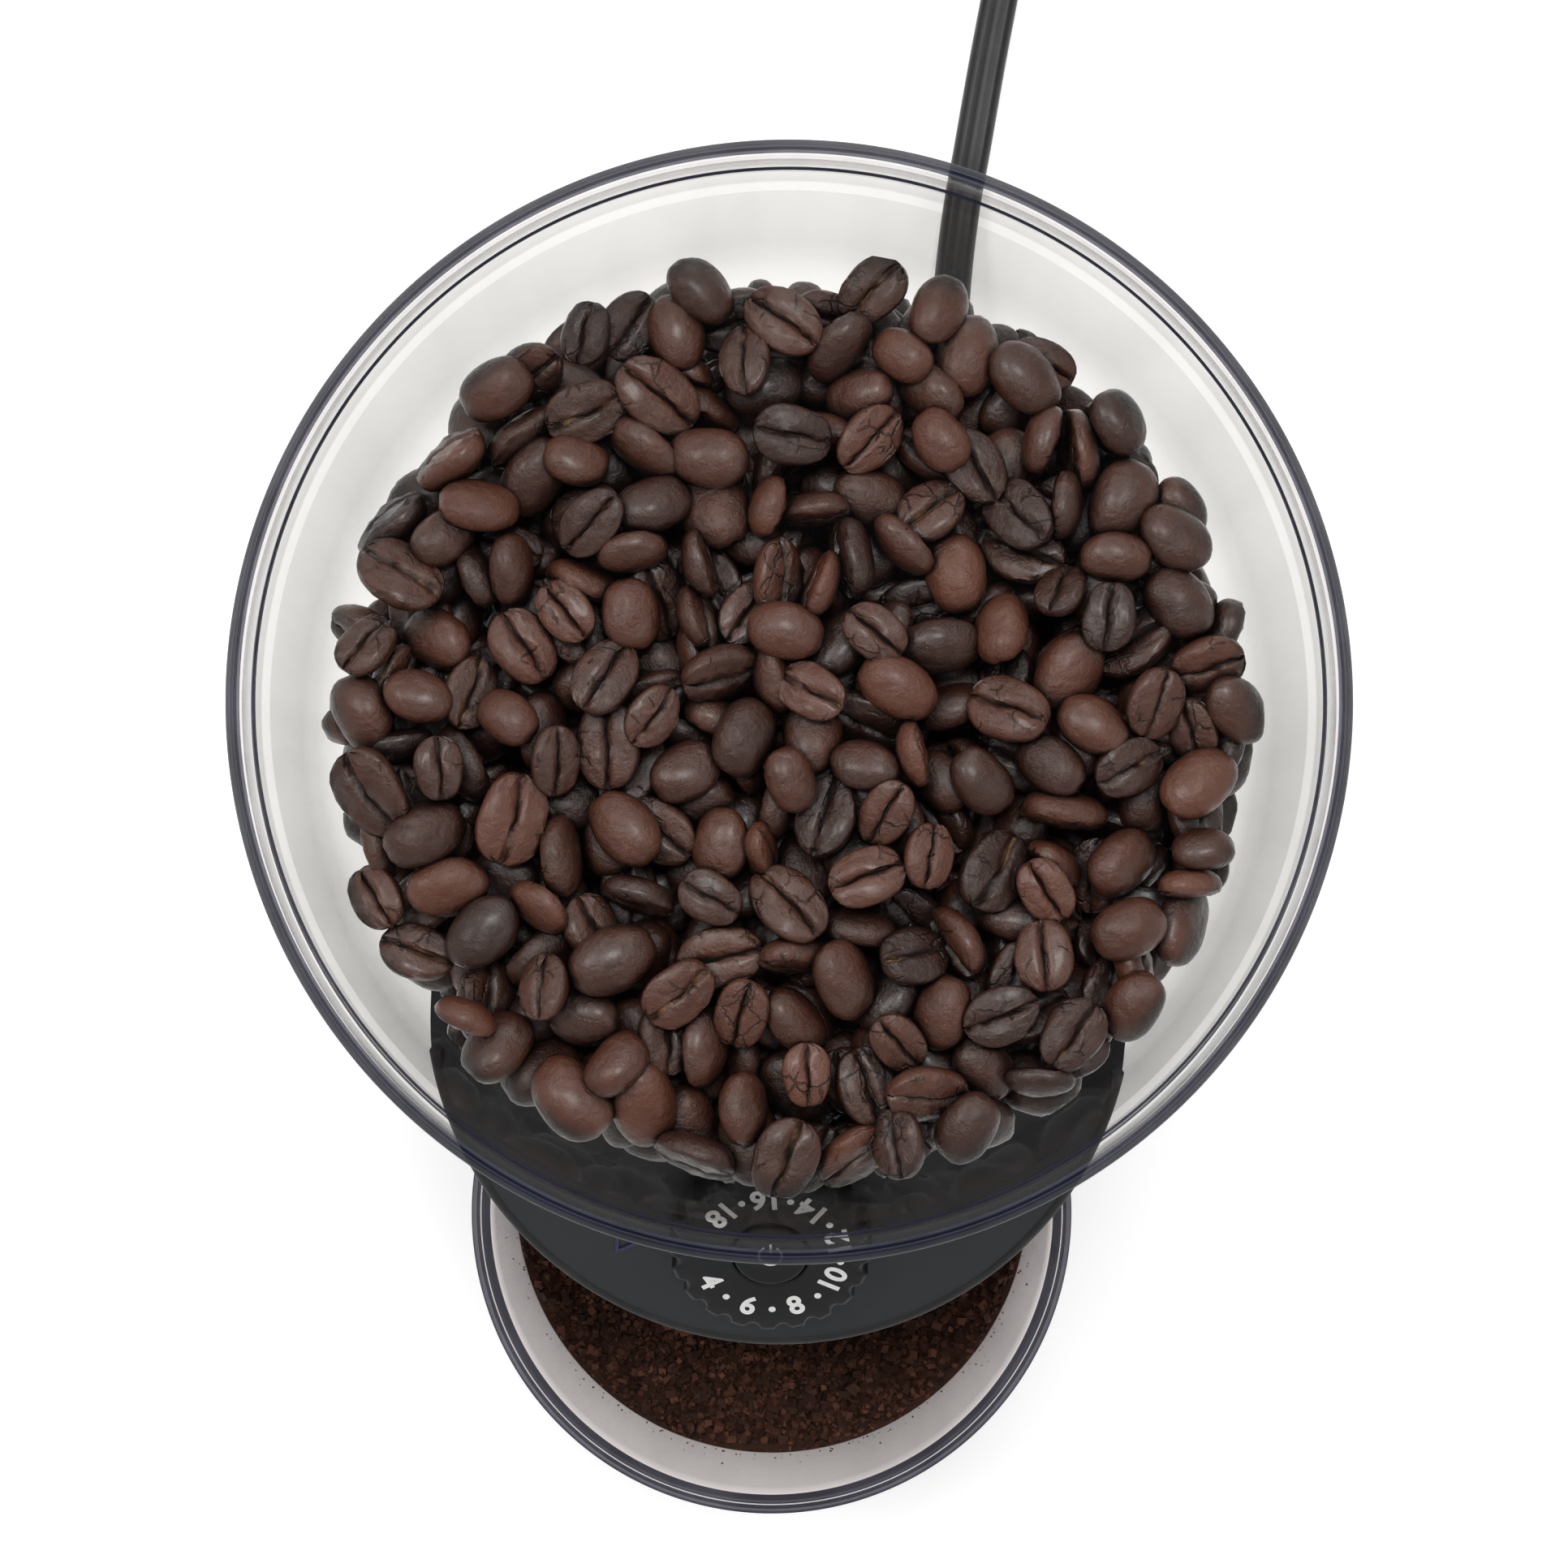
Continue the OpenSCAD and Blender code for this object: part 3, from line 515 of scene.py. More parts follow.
def smooth_path(points, step=3.0):
    """A Catmull-Rom curve through points, sampled about every step."""
    p = np.array([points[0], *points, points[-1]], float)
    made = []
    for i in range(1, len(p) - 2):
        count = max(2, int(np.linalg.norm(p[i + 1] - p[i]) / step))
        for t in np.arange(count) / count:
            made.append(0.5 * (2 * p[i] + (p[i + 1] - p[i - 1]) * t
                        + (2 * p[i - 1] - 5 * p[i] + 4 * p[i + 1] - p[i + 2]) * t**2
                        + (3 * p[i] - p[i - 1] - 3 * p[i + 1] + p[i + 2]) * t**3))
    return np.array([*made, p[-1]])


def flat_section(steps=9):
    """Two round cores side by side with a web between, as (across, up)."""
    core = CORD_T / 2
    turn = np.radians(np.linspace(-128, 128, steps))
    right = np.stack([core + core * np.cos(turn), core * np.sin(turn)], 1)
    return np.concatenate([right, -right])


def swept(path, section):
    """Points and faces of a section carried along a path, kept level."""
    path = np.asarray(path)
    along = np.gradient(path, axis=0)
    along /= np.linalg.norm(along, axis=1)[:, None]
    side = np.cross(along, (0, 0, 1))
    side /= np.linalg.norm(side, axis=1)[:, None]
    up = np.cross(side, along)
    across, above = section[None, :, 0, None], section[None, :, 1, None]
    points = path[:, None] + across * side[:, None] + above * up[:, None]
    return points.reshape(-1, 3), joined(len(path), len(section))


cord_path = smooth_path([*LEAD, *coil_points(), *TAIL])
cord = piece("power_cord", *swept(cord_path, flat_section()), "housing", cord_finish, 60, "cord_rubber")
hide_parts("cord_lead", "cord_coil", "cord_tail")


# %% [markdown]
# The plug is a small moulded block with grip hollows on its sides and two flat blades. It is drawn
# along its own axis and then laid where the cord ends.

# %% Plug
def box_piece(name, low, high, body, finish, bevel, slot, place):
    """A block with rounded edges, in millimetres, moved by a matrix."""
    b = bmesh.new()
    bmesh.ops.create_cube(b, size=1)
    size, middle = np.subtract(high, low), (np.add(high, low)) / 2
    for v in b.verts:
        v.co = Vector(middle + np.array(v.co) * size)
    bmesh.ops.bevel(b, geom=b.edges[:], offset=bevel, segments=3, profile=0.5, affect="EDGES")
    bmesh.ops.transform(b, matrix=place, verts=b.verts)
    points, faces = [tuple(v.co) for v in b.verts], [[v.index for v in f.verts] for f in b.faces]
    b.free()
    return piece(name, points, faces, body, finish, 40, slot)


PLUG_YAW = 155
BLADE_X = 6.35
plug_place = Matrix.Translation(TAIL[-1]) @ Matrix.Rotation(math.radians(PLUG_YAW), 4, "Z")


def plug_body():
    """The moulded block: rounded sections along its length, waisted for the fingers."""
    stations = [(0, 5.2, 4.2), (1.2, 6.6, 5.2), (5, 10.2, 6.4), (8, 11.6, 7), (12, 10.4, 6.6), (16, 10.2, 6.5),
                (21, 11.8, 7), (28.6, 12, 7), (29.7, 11.6, 6.6), (30, 10.8, 5.9)]
    ring = 28
    points = []
    for along, half_w, half_h in stations:
        for a in np.arange(ring) * 2 * np.pi / ring:
            c, s = math.cos(a), math.sin(a)
            points.append(plug_place @ Vector((half_w * np.sign(c) * abs(c) ** 0.45, along,
                                               half_h * np.sign(s) * abs(s) ** 0.45)))
    return points, joined(len(stations), ring)


plug = piece("plug_body", *plug_body(), "housing", plug_finish, 30, "plug_plastic")
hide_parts("plug")
blades = [box_piece(f"plug_blade_{side}", (x - 0.75, 29, -3.2), (x + 0.75, 47, 3.2), "housing", brass_finish, 0.3,
                    "brass", plug_place) for side, x in (("left", -BLADE_X), ("right", BLADE_X))]

# %% [markdown]
# Where the cord leaves the housing it runs through a strain relief: a soft tapered sleeve, ribbed so
# that it bends evenly. Each rib is a short step in a turned outline, laid along the cord's own way out.

# %% Strain relief
def sleeve():
    """Outline of (radius, distance along the cord) from the flange inside the housing to the thin end."""
    start, end = relief_low[1], relief_high[1]
    length = end - start
    outline = [(0, 0), (8, 0), (8, 3), (5.8, 3.2), (5.8, 17.8), (7.4, 18.2), (7.6, 19.6), (6.9, 20.6)]
    for i in range(5):
        along = 21.4 + i * 2.9
        radius = 6.4 - 0.32 * i
        outline += [(radius, along), (radius, along + 1.5), (radius - 1.1, along + 1.8),
                    (radius - 1.15, along + 2.6)]
    outline += [(4.7, length - 1.2), (4.4, length), (0, length)]
    points, faces, _ = lathe(rounded(outline, 0.4, 2), 0, 64)
    exit_x, _, exit_z = LEAD[0]
    return [(exit_x + x, start + z, exit_z + 0.86 * y) for x, y, z in points], faces


relief = piece("cord_sleeve", *sleeve(), "housing", cord_finish, 40, "cord_rubber")
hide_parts("strain_relief")
print("strain relief", [round(v, 1) for v in relief_high - relief_low])


# %% [markdown]
# ## Hopper and lid
# The hopper is a clear bowl on a narrow neck, and the lid is a clear plate in a rim that grips the
# hopper's lip. Both are turned. Where light runs along inside the rims, the clear plastic shows its
# tint as fine rings: dark navy, blue-grey, a bright line and a pale band. The dark rings are the tint
# darkened by painted reflection, and the bright line and pale band are painted highlights. Each ring is a
# zone of the outline with its own finish, because thin rings of refraction would need far more samples to show.

# %% Hopper
HOPPER_FLOOR = span("hopper")[0][2]
NECK_R = 43.5
BOWL_R = 66.0
BOWL_Z = 178.0
BOWL_H = 44.0
INSIDE_NECK_R = NECK_R - 2.5
INSIDE_R = BOWL_R - 2
INSIDE_Z = BOWL_Z + 2.4
RIM_STEPS = 256


def bowl(r_low, r_high, z_low, z_high, steps=22):
    turn = np.linspace(0, np.pi / 2, steps)
    return [(r_low + (r_high - r_low) * math.sin(t), z_low + (z_high - z_low) * (1 - math.cos(t))) for t in turn]


outside = bowl(NECK_R, BOWL_R, BOWL_Z, BOWL_Z + BOWL_H)
inside = bowl(INSIDE_NECK_R, INSIDE_R, INSIDE_Z, BOWL_Z + BOWL_H)[::-1]
lip = rounded([(66.3, 256), (66.8, 258), (66.8, 265), (65.4, 265), (65.4, 258.5), (64.5, 257.5)],
              [0, 0.4, 0.5, 0.5, 0.4, 0])
hopper_outline = [(16.5, HOPPER_FLOOR), (NECK_R, HOPPER_FLOOR), *outside, *lip, *inside, (19, 168.5), (16.5, 167)]


def hopper_zone(r, z):
    """A painted dark grey ring on the lip's inner edge, a painted highlight on its outer edge, a denser wall below
    them, clear elsewhere.
    """
    if z > 264.4:
        return 1 if r < 65.65 else 2
    return 3 if z > 257.8 else 0


points, faces, zones = lathe(hopper_outline, AXIS_Y, RIM_STEPS, hopper_zone)
# Zones 1 and 2 are painted rim rings: a dark grey one of painted reflection and a painted highlight.
hopper = piece("clear_hopper", points, faces, "hopper",
               [clear_finish, edge_grey_finish, rim_highlight_finish, lip_finish], 40, "clear_plastic", zones)
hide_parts("hopper")
print("hopper faces", len(faces))

# %% [markdown]
# The lid's rim has small steps on its top, one under each painted ring, and a rounded fillet where it
# meets the plate. The skirt below the rim is what grips the hopper's lip.

# %% Lid
PLATE_Z = 265.3
PLATE_TOP = 267.6
lid_outline = [(0, PLATE_Z), (64.6, PLATE_Z), (66.9, PLATE_Z), (67.1, PLATE_Z - 0.3), (67.1, 259.2), (67.4, 259.0),
               (67.8, 259.1), (68, 259.5), (68, 269.2), (67.9, 269.6), (67.6, 269.9), (67.3, 270), (66.92, 269.95),
               (66.84, 269.7), (66.74, 269.7), (66.55, 269.92), (66.3, 269.95), (66.2, 269.8), (66.0, 269.8),
               (65.92, 269.62), (65.5, 269.45), (65.34, 269.2), (65.12, 268.9), (64.9, 268.2), (64.6, 267.75),
               (64.2, PLATE_TOP), (40, PLATE_TOP), (0, PLATE_TOP)]


# The rings painted on top of the rim as (zone, inner radius), from outside: charcoal, navy, blue-grey,
# bright, pale and navy again. The dark ones are the tint darkened by painted reflection; the bright and
# pale ones are painted highlights.
LID_RINGS = [(1, 67.3), (2, 66.55), (3, 66.22), (4, 65.98), (6, 65.36), (2, 65.0)]


def lid_zone(r, z):
    """Painted rings on the rim, smoky on the skirt's outside, the painted navy ring again in the fillet, and clear
    plate and skirt.
    """
    if z < 268.4 and r < 67.6:
        return 2 if z > PLATE_TOP + 0.1 and r > 64.5 else 0
    if z < 269.3:
        return 5 if r > 67.5 else 0
    return next((zone for zone, inner in LID_RINGS if r > inner), 0)


# Painted rings: charcoal and blue-grey are the tint darkened by painted reflection; the pale band is a painted
# highlight.
charcoal_edge = painted_rim_ring("lid_edge_charcoal", (0.036, 0.038, 0.044), 0.06)
blue_grey_edge = painted_rim_ring("lid_edge_blue_grey", (0.05, 0.054, 0.075), 0.12)
pale_highlight_ring = painted_rim_ring("lid_painted_pale_highlight", (0.2, 0.2, 0.21), 0.9, tint=(0.98, 0.98, 0.98))
points, faces, zones = lathe(lid_outline, AXIS_Y, RIM_STEPS, lid_zone)
lid_finishes = [lid_finish, charcoal_edge, edge_finish, blue_grey_edge, rim_highlight_finish, smoky_finish, pale_highlight_ring]
lid = piece("clear_lid", points, faces, "lid", lid_finishes, 50, "clear_plastic", zones)
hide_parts("hopper_lid")
print("lid faces", len(faces))


# %% [markdown]
# ## Grounds cup
# The cup is a clear tub with a slight violet tint. It is round in front and flat at the back, where it
# stands against the housing, and it tapers a little towards its foot. It is drawn as a stack of
# D-shaped rings joined by quads: up the outside, over the rolled rim and down the inside.

# %% Cup
CUP_BACK = cup_high[1]
WALL_BACK = 2.0


def d_ring(radius, back, corner=5.0, count=180):
    """A ring of points: an arc of the radius closed by a straight line at the back, with round corners."""
    half = math.sqrt(max(radius**2 - (back - CUP_Y) ** 2, 1))
    start = math.atan2(back - CUP_Y, half)
    arc = [(radius * math.cos(a), CUP_Y + radius * math.sin(a)) for a in
           np.linspace(start, -math.pi - start, count)]
    line = [(x, back) for x in np.linspace(-half, half, 40)[1:-1]]
    ring = np.array(arc + line)
    for _ in range(int(corner * 3)):
        near = np.abs(ring[:, 1] - back) < corner * 1.6
        near &= np.abs(np.abs(ring[:, 0]) - half) < corner * 1.6
        moved = (np.roll(ring, 1, 0) + np.roll(ring, -1, 0)) / 2
        ring[near] = moved[near]
    return ring


def stacked(levels, ring_of, zone_of):
    """Points, faces and zones from rings at (radius, back, height), the first and last closed flat."""
    points = [(x, y, z) for radius, back, z in levels for x, y in ring_of(radius, back)]
    around = len(points) // len(levels)
    zones = [zone_of(i) for i in range(len(levels) - 1) for _ in range(around)] + [0, 0]
    return points, joined(len(levels), around), zones


INNER_BACK = CUP_BACK - WALL_BACK
cup_levels = [(43, CUP_BACK - 3, 11.3), (45.4, CUP_BACK - 1.4, 11.5), (46.9, CUP_BACK, 13.2), (48, CUP_BACK, 56),
              (49.3, CUP_BACK, 104.8), (50.3, CUP_BACK, 105.8), (50.9, CUP_BACK, 106.5), (51, CUP_BACK, 107.2),
              (51, CUP_BACK, 109.2), (50.9, CUP_BACK, 109.7), (50.4, CUP_BACK, 110), (50.05, CUP_BACK - 0.2, 110),
              (49.9, CUP_BACK - 0.4, 109.85), (49.45, CUP_BACK - 0.6, 109.9), (49.25, CUP_BACK - 0.8, 109.95),
              (48.75, CUP_BACK - 1.1, 109.9), (48.5, CUP_BACK - 1.3, 109.75), (47.8, CUP_BACK - 1.8, 109.3),
              (47.5, INNER_BACK, 108.6), (47.3, INNER_BACK, 105), (46, INNER_BACK, 56), (45, INNER_BACK, 16.4),
              (43.6, INNER_BACK - 1.3, 14.2), (41.5, INNER_BACK - 3.2, 13.8)]
# Rim zones from the outer edge inward, painted: violet, navy, a bright line and navy again. The dark ones
# are the tint darkened by painted reflection, the bright line a painted highlight. Both walls are smoky.
CUP_ZONES = {7: 1, 8: 1, 9: 1, 10: 1, 11: 2, 12: 2, 13: 3, 14: 2, 15: 2, 16: 2}
points, faces, zones = stacked(cup_levels, d_ring, lambda i: CUP_ZONES.get(i, 0))
cup_finishes = [smoky_finish, cup_violet_finish, cup_edge_finish, cup_highlight_finish]
cup = piece("clear_cup", points, faces, "cup", cup_finishes, 45, "smoky_plastic", zones)
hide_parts("grounds_cup")
print("cup faces", len(faces), "flat back at y", round(CUP_BACK, 1))


# %% [markdown]
# ## Coffee beans
# A roasted bean is a dome on one side and two soft pads with a deep crease between them on the other.
# One bean is a closed mesh round its long axis, with its rings packed closer near the crease so that
# the crease stays sharp. Six different beans, each at many sizes, tilts and tones, make a heap that
# never repeats to the eye. The flat side is a little shrivelled, so its points are nudged at random.

# %% One bean
AROUND = 26
ALONG = 13


def bean_mesh(seed):
    """Points (long axis X, dome up), faces and a crease mask of one bean, in millimetres."""
    rng = np.random.default_rng(seed)
    half_l, half_w = rng.uniform(5.2, 6.0), rng.uniform(4.0, 4.6)
    dome, pad = rng.uniform(3.0, 3.5), rng.uniform(1.3, 1.7)
    bend, dent = rng.uniform(-0.5, 0.5), rng.uniform(0, 2 * np.pi, 3)
    t = np.linspace(0, 1, AROUND, endpoint=False) * 2 - 1
    turn = -np.pi / 2 + np.pi * np.sign(t) * np.abs(t) ** 1.35
    points, crease = [(-half_l, 0, 0.3)], [0.0]
    for s in np.linspace(0, np.pi, ALONG + 2)[1:-1]:
        x, ring = -math.cos(s), math.sin(s) ** 0.9
        for a in turn:
            y, z = math.cos(a) * ring, math.sin(a) * ring
            groove = math.exp(-((y - 0.09 * bend * math.sin(2.8 * x)) / 0.075) ** 2) if z < 0 else 0.0
            up = dome * abs(z) ** 0.92 if z > 0 else -pad * abs(z) ** 0.5 + 1.15 * groove * ring**0.5
            lump = 1 + 0.045 * math.sin(3.2 * x + dent[0]) * math.cos(2 * a + dent[1])
            across = half_w * np.sign(y) * abs(y) ** 0.95 * lump + 0.35 * bend * (1 - x * x)
            points.append((half_l * x * (1 + 0.02 * math.sin(2 * a + dent[2])),
                           across + (groove * rng.normal(0, 0.22)),
                           up * lump + 0.3 * x * x + rng.normal(0, 0.13 if z < 0 else 0.05)))
            crease.append(max(groove * min(1, ring * 1.4), 0.15 if z < 0 else 0))
    points.append((half_l, 0, 0.3))
    crease.append(0.0)
    rings = [[1 + i * AROUND + k for k in range(AROUND)] for i in range(ALONG)]
    last = len(points) - 1
    faces = [[0, rings[0][(k + 1) % AROUND], rings[0][k]] for k in range(AROUND)]
    faces += [[rings[-1][k], rings[-1][(k + 1) % AROUND], last] for k in range(AROUND)]
    faces += [[a[k], a[(k + 1) % AROUND], b[(k + 1) % AROUND], b[k]]
              for a, b in zip(rings, rings[1:], strict=False) for k in range(AROUND)]
    return np.array(points), faces, np.array(crease)


BEANS = [bean_mesh(seed) for seed in range(6)]
print("faces on one bean", len(BEANS[0][1]))


# %% [markdown]
# The heap is made the way it forms in the hopper. A height map holds the top of what already lies
# there: first the bowl's own wall, then every bean. Each new bean tries fourteen random places and
# takes the lowest one where it rests on the map without going in. A dark core stands in for the beans
# that nobody can see; its near-black colour is painted shade between the beans.

# %% Dropping beans
CELL = 0.8
MAP = 82
CORE_R = 42.0
CORE_TOP = 207.5
BEAN_TOP = 230.0
BEAN_HALF = (5.5, 4.3, 2.5)
HEAP_R = 60.5
INSIDE_RUN = INSIDE_R - INSIDE_NECK_R
INSIDE_RISE = 41.6


def inner_radius(z):
    """The bowl's inside radius at a height."""
    t = np.clip((np.asarray(z, float) - INSIDE_Z) / INSIDE_RISE, 0, 1)
    return INSIDE_NECK_R + INSIDE_RUN * np.sqrt(1 - (1 - t) ** 2)


def inner_height(r):
    """The height of the bowl's inside wall at a radius: its floor in the neck, out of reach at the wall."""
    s = np.clip((np.asarray(r, float) - INSIDE_NECK_R) / INSIDE_RUN, 0, 1)
    wall = INSIDE_Z + INSIDE_RISE * (1 - np.sqrt(1 - s**2))
    return np.where(r > INSIDE_R - 0.6, 400.0, np.where(r < INSIDE_NECK_R, 170.0, wall))


def turned(rng):
    """A random way for a bean to lie: mostly on its pads or its dome, sometimes on its side."""
    kind = rng.random()
    if kind < 0.42:
        roll, pitch = rng.normal(0, 20), rng.normal(0, 12)
    elif kind < 0.76:
        roll, pitch = 180 + rng.normal(0, 22), rng.normal(0, 12)
    else:
        roll, pitch = rng.choice([-1, 1]) * rng.uniform(55, 120), rng.normal(0, 16)
    turns = ((rng.uniform(0, 360), "Z"), (pitch, "Y"), (roll, "X"))
    yaw, tip, over = (Matrix.Rotation(math.radians(degrees), 3, axis) for degrees, axis in turns)
    return yaw @ tip @ over


def profile(turn, size):
    """The lower and upper height of a lying bean over the cells round its middle."""
    squeezed = np.array(BEAN_HALF) * size * 0.93
    m = np.array(turn) @ np.diag(1 / squeezed**2) @ np.array(turn).T
    n = int(6.2 * size / CELL) + 1
    steps = np.arange(-n, n + 1) * CELL
    x, y = np.meshgrid(steps, steps, indexing="ij")
    b = m[0, 2] * x + m[1, 2] * y
    c = m[0, 0] * x * x + 2 * m[0, 1] * x * y + m[1, 1] * y * y - 1
    under = b * b - m[2, 2] * c
    root = np.sqrt(np.maximum(under, 0))
    return n, under > 0, (-b - root) / m[2, 2], (-b + root) / m[2, 2]


def drop_beans(count=1300, tries=14, seed=7):
    """Places of the beans, as (variant, size, turn, middle)."""
    rng = np.random.default_rng(seed)
    grid = (np.arange(2 * MAP + 1) - MAP) * CELL
    gx, gy = np.meshgrid(grid, grid, indexing="ij")
    radius = np.hypot(gx, gy)
    height = np.where(radius < CORE_R, CORE_TOP - 3 * (radius / CORE_R) ** 6, inner_height(radius))
    made = []
    for _ in range(count):
        size = rng.uniform(0.8, 1.08)
        turn = turned(rng)
        n, inside, low, high = profile(turn, size)
        best = None
        for _ in range(tries):
            r, a = HEAP_R * math.sqrt(rng.random()), rng.uniform(0, 2 * np.pi)
            i, k = int(round(r * math.cos(a) / CELL)) + MAP, int(round(r * math.sin(a) / CELL)) + MAP
            if min(i, k) < n or max(i, k) + n > 2 * MAP:
                continue
            patch = height[i - n : i + n + 1, k - n : k + n + 1]
            rest = np.max((patch - low)[inside])
            if best is None or rest < best[0]:
                best = (rest, i, k, patch)
        if best is None or best[0] + high[inside].max() > BEAN_TOP:
            continue
        rest, i, k, patch = best
        patch[inside] = np.maximum(patch[inside], rest + high[inside])
        made.append((int(rng.integers(len(BEANS))), size, turn, (grid[i], grid[k], rest)))
    return made


places = drop_beans()
tops = sorted(p[3][2] for p in places)
print("beans", len(places), "heap top", round(tops[-1], 1), "middle of the heap", round(tops[len(tops) // 2], 1))


# %% [markdown]
# A dark roast runs from near black to red-brown, and each bean has its own tone. The finish reads two
# values kept on the mesh: the bean's tone, and how deep in the crease a point is, where pale chaff
# often stays and where the colour is painted near black as shade. A web of fine cracks runs over the flat
# side: the edges of warped Voronoi cells. The gaps between beans are painted darker as shade, by how
# sheltered a point is. Fine wrinkles and a thin, uneven coat of oil give the soft broken highlights.

# %% Roast finish
def roast(name):
    f = Finish(name)
    tone, flat = f.kept("tone"), f.kept("crease")
    crease = (flat + 0.5 * f.noise(900.0, 3.0, 0.6) - 0.5).within(0.0, 0.6)
    blotch = f.noise(300.0, 4.0, 0.6)
    wrinkle = f.noise(1250.0, 5.0, 0.7, at=f.stretched(1, 1, 0.6))
    shade_of = (tone + 0.5 * blotch - 0.25).within(0.0, 1.0)
    roasted = f.mix(shade_of, (0.032, 0.0108, 0.0064), (0.128, 0.042, 0.022))
    warm = f.mix((tone - 0.72).within(0.0, 0.28) * 0.4, roasted, (0.14, 0.051, 0.029))
    warped = f.node("ShaderNodeVectorMath", {"operation": "MULTIPLY_ADD"}, {
        0: f.noise(420.0, 3.0, 0.6, out="Color"), 1: (0.0016, 0.0016, 0.0016), 2: f.place()})
    web = f.node("ShaderNodeTexVoronoi", {"feature": "DISTANCE_TO_EDGE"}, {"Vector": warped, "Scale": 240.0},
                 out="Distance")
    cracked = (0.15 + flat * 6.0).within(0.0, 1.0) * f.noise(170.0, 2.0, 0.5).within(0.52, 0.6)
    crack = (0.05 - web).within(0.0, 0.05) * cracked
    warm = f.mix(crack * 0.75, warm, (0.008, 0.004, 0.003))
    chaff = (crease - 0.2).within(0.0, 0.4) * f.noise(150.0, 3.0, 0.5).within(0.54, 0.62)
    # Painted shade: the crease is darkened towards near black, with pale chaff over it.
    base = f.mix(chaff, f.mix(crease * 0.7, warm, (0.006, 0.003, 0.002)), (0.3, 0.15, 0.06))
    # Painted shade: ambient occlusion darkens the colour where beans shelter each other.
    painted_gap_shade = f.node("ShaderNodeAmbientOcclusion", {"samples": 4}, {"Distance": 0.006}, out=1)
    base = f.mix(painted_gap_shade.within(0.22, 0.92), (0.003, 0.0014, 0.001), base)
    oil = f.noise(210.0, 3.0, 0.5)
    dents = f.bump(blotch, 0.0011, 0.6)
    return f.done(f.surface(
        Base_Color=base, Coat_Weight=0.1 + 0.35 * oil.within(0.45, 0.6), Coat_Roughness=0.3, Specular_IOR_Level=0.5,
        Roughness=0.29 + 0.16 * wrinkle - 0.08 * oil.within(0.5, 0.7) + 0.3 * crease,
        Normal=f.bump(wrinkle - 1.2 * crack, 0.00022, 0.9, dents)))


roast_finish = roast("roast_coffee")


# %% [markdown]
# The beans become four meshes, lowest first. A bean that pokes through the wall is pulled in to it, and
# each mesh keeps the two numbers per point that the finish reads.

# %% Building the heap
def keep(obj, name, values):
    """Keeps one number for each point of a mesh."""
    layer = obj.data.attributes.new(name, "FLOAT", "POINT")
    layer.data.foreach_set("value", np.asarray(values, np.float32))


def heap_piece(name, chosen, seed):
    """One mesh of many beans, with a tone for each and the crease mask."""
    rng = np.random.default_rng(seed)
    points, tones, creases, faces, first = [], [], [], [], 0
    for variant, size, turn, middle in chosen:
        shape, sides, crease = BEANS[variant]
        middle = np.array([middle[0], middle[1] + AXIS_Y, middle[2]])
        points.append((shape - (0, 0, 0.85)) * size @ np.array(turn).T + middle)
        tones.append(np.full(len(shape), np.clip(rng.normal(0.48, 0.2), 0, 1)))
        creases.append(crease * rng.uniform(0.6, 1))
        faces += [[v + first for v in f] for f in sides]
        first += len(shape)
    points = np.concatenate(points)
    off = np.hypot(points[:, 0], points[:, 1] - AXIS_Y)
    limit = inner_radius(points[:, 2]) - 0.35
    scale = np.minimum(1, limit / np.maximum(off, 1e-6))
    points[:, 0] *= scale
    points[:, 1] = AXIS_Y + (points[:, 1] - AXIS_Y) * scale
    obj = piece(name, points, faces, "hopper", roast_finish, 60, "roast_coffee")
    keep(obj, "tone", np.concatenate(tones))
    keep(obj, "crease", np.concatenate(creases))
    return obj


places.sort(key=lambda p: p[3][2])
shares = np.array_split(np.arange(len(places)), 4)
heaps = [heap_piece(f"beans_{i + 1}", [places[k] for k in share], 20 + i) for i, share in enumerate(shares)]
print("faces in the heap", sum(len(h.data.polygons) for h in heaps))


# %% Core under the beans
def core():
    """A lumpy mound, painted near black as shade, that fills the middle of the heap, out of sight between the
    beans.
    """
    outline = [(0, 169.2), (17, 169.2), (20, 171.5), (40, 172.4), (40.4, 180), (CORE_R - 0.4, 184)]
    outline += [(CORE_R - 0.4, CORE_TOP - 3.5), (CORE_R - 6, CORE_TOP - 1), (20, CORE_TOP), (0, CORE_TOP)]
    points, faces, _ = lathe(rounded(outline, 1.5, 2), AXIS_Y, 128)
    points = np.array(points, float)
    wave = np.sin(points[:, 0] * 0.9) * np.sin(points[:, 1] * 0.8) * np.sin(points[:, 2] * 1.1)
    points[:, :2] -= (points[:, :2] - (0, AXIS_Y)) * 0.012 * (1 + wave[:, None])
    obj = piece("bean_core", points, faces, "hopper", roast_finish, 60, "roast_coffee")
    # Painted shade: a dark tone and a deep crease value turn the core near black.
    keep(obj, "tone", np.full(len(points), 0.15))
    keep(obj, "crease", np.full(len(points), 0.75))
    return obj


bean_core = core()
for heap in (*heaps, bean_core):
    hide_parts("coffee_beans")


# %% [markdown]
# ## Ground coffee
# The grounds fill two thirds of the cup. Their body is a D-shaped block with a rough top, and
# thousands of small broken grains lie on it, each a cube knocked out of shape, so the surface
# throws real little shadows. A few specks cling to the wall above. Most grains are dark and a few are
# much paler, as broken coffee is, and each keeps its own tone for the finish.

# %% Grounds
GROUNDS_Z = 77.0
GROUNDS_R = 46.2
CROWN = 1.2


def grounds_height(x, y):
    """The height of the grounds' top: a low crown with broad waves and small lumps."""
    rough = noise.noise(Vector((x * 0.12, y * 0.12, 3))) * 0.9 + noise.noise(Vector((x, y, 7))) * 0.35
    return GROUNDS_Z + CROWN - CROWN * ((x * x + (y - CUP_Y) ** 2) / GROUNDS_R**2) + rough


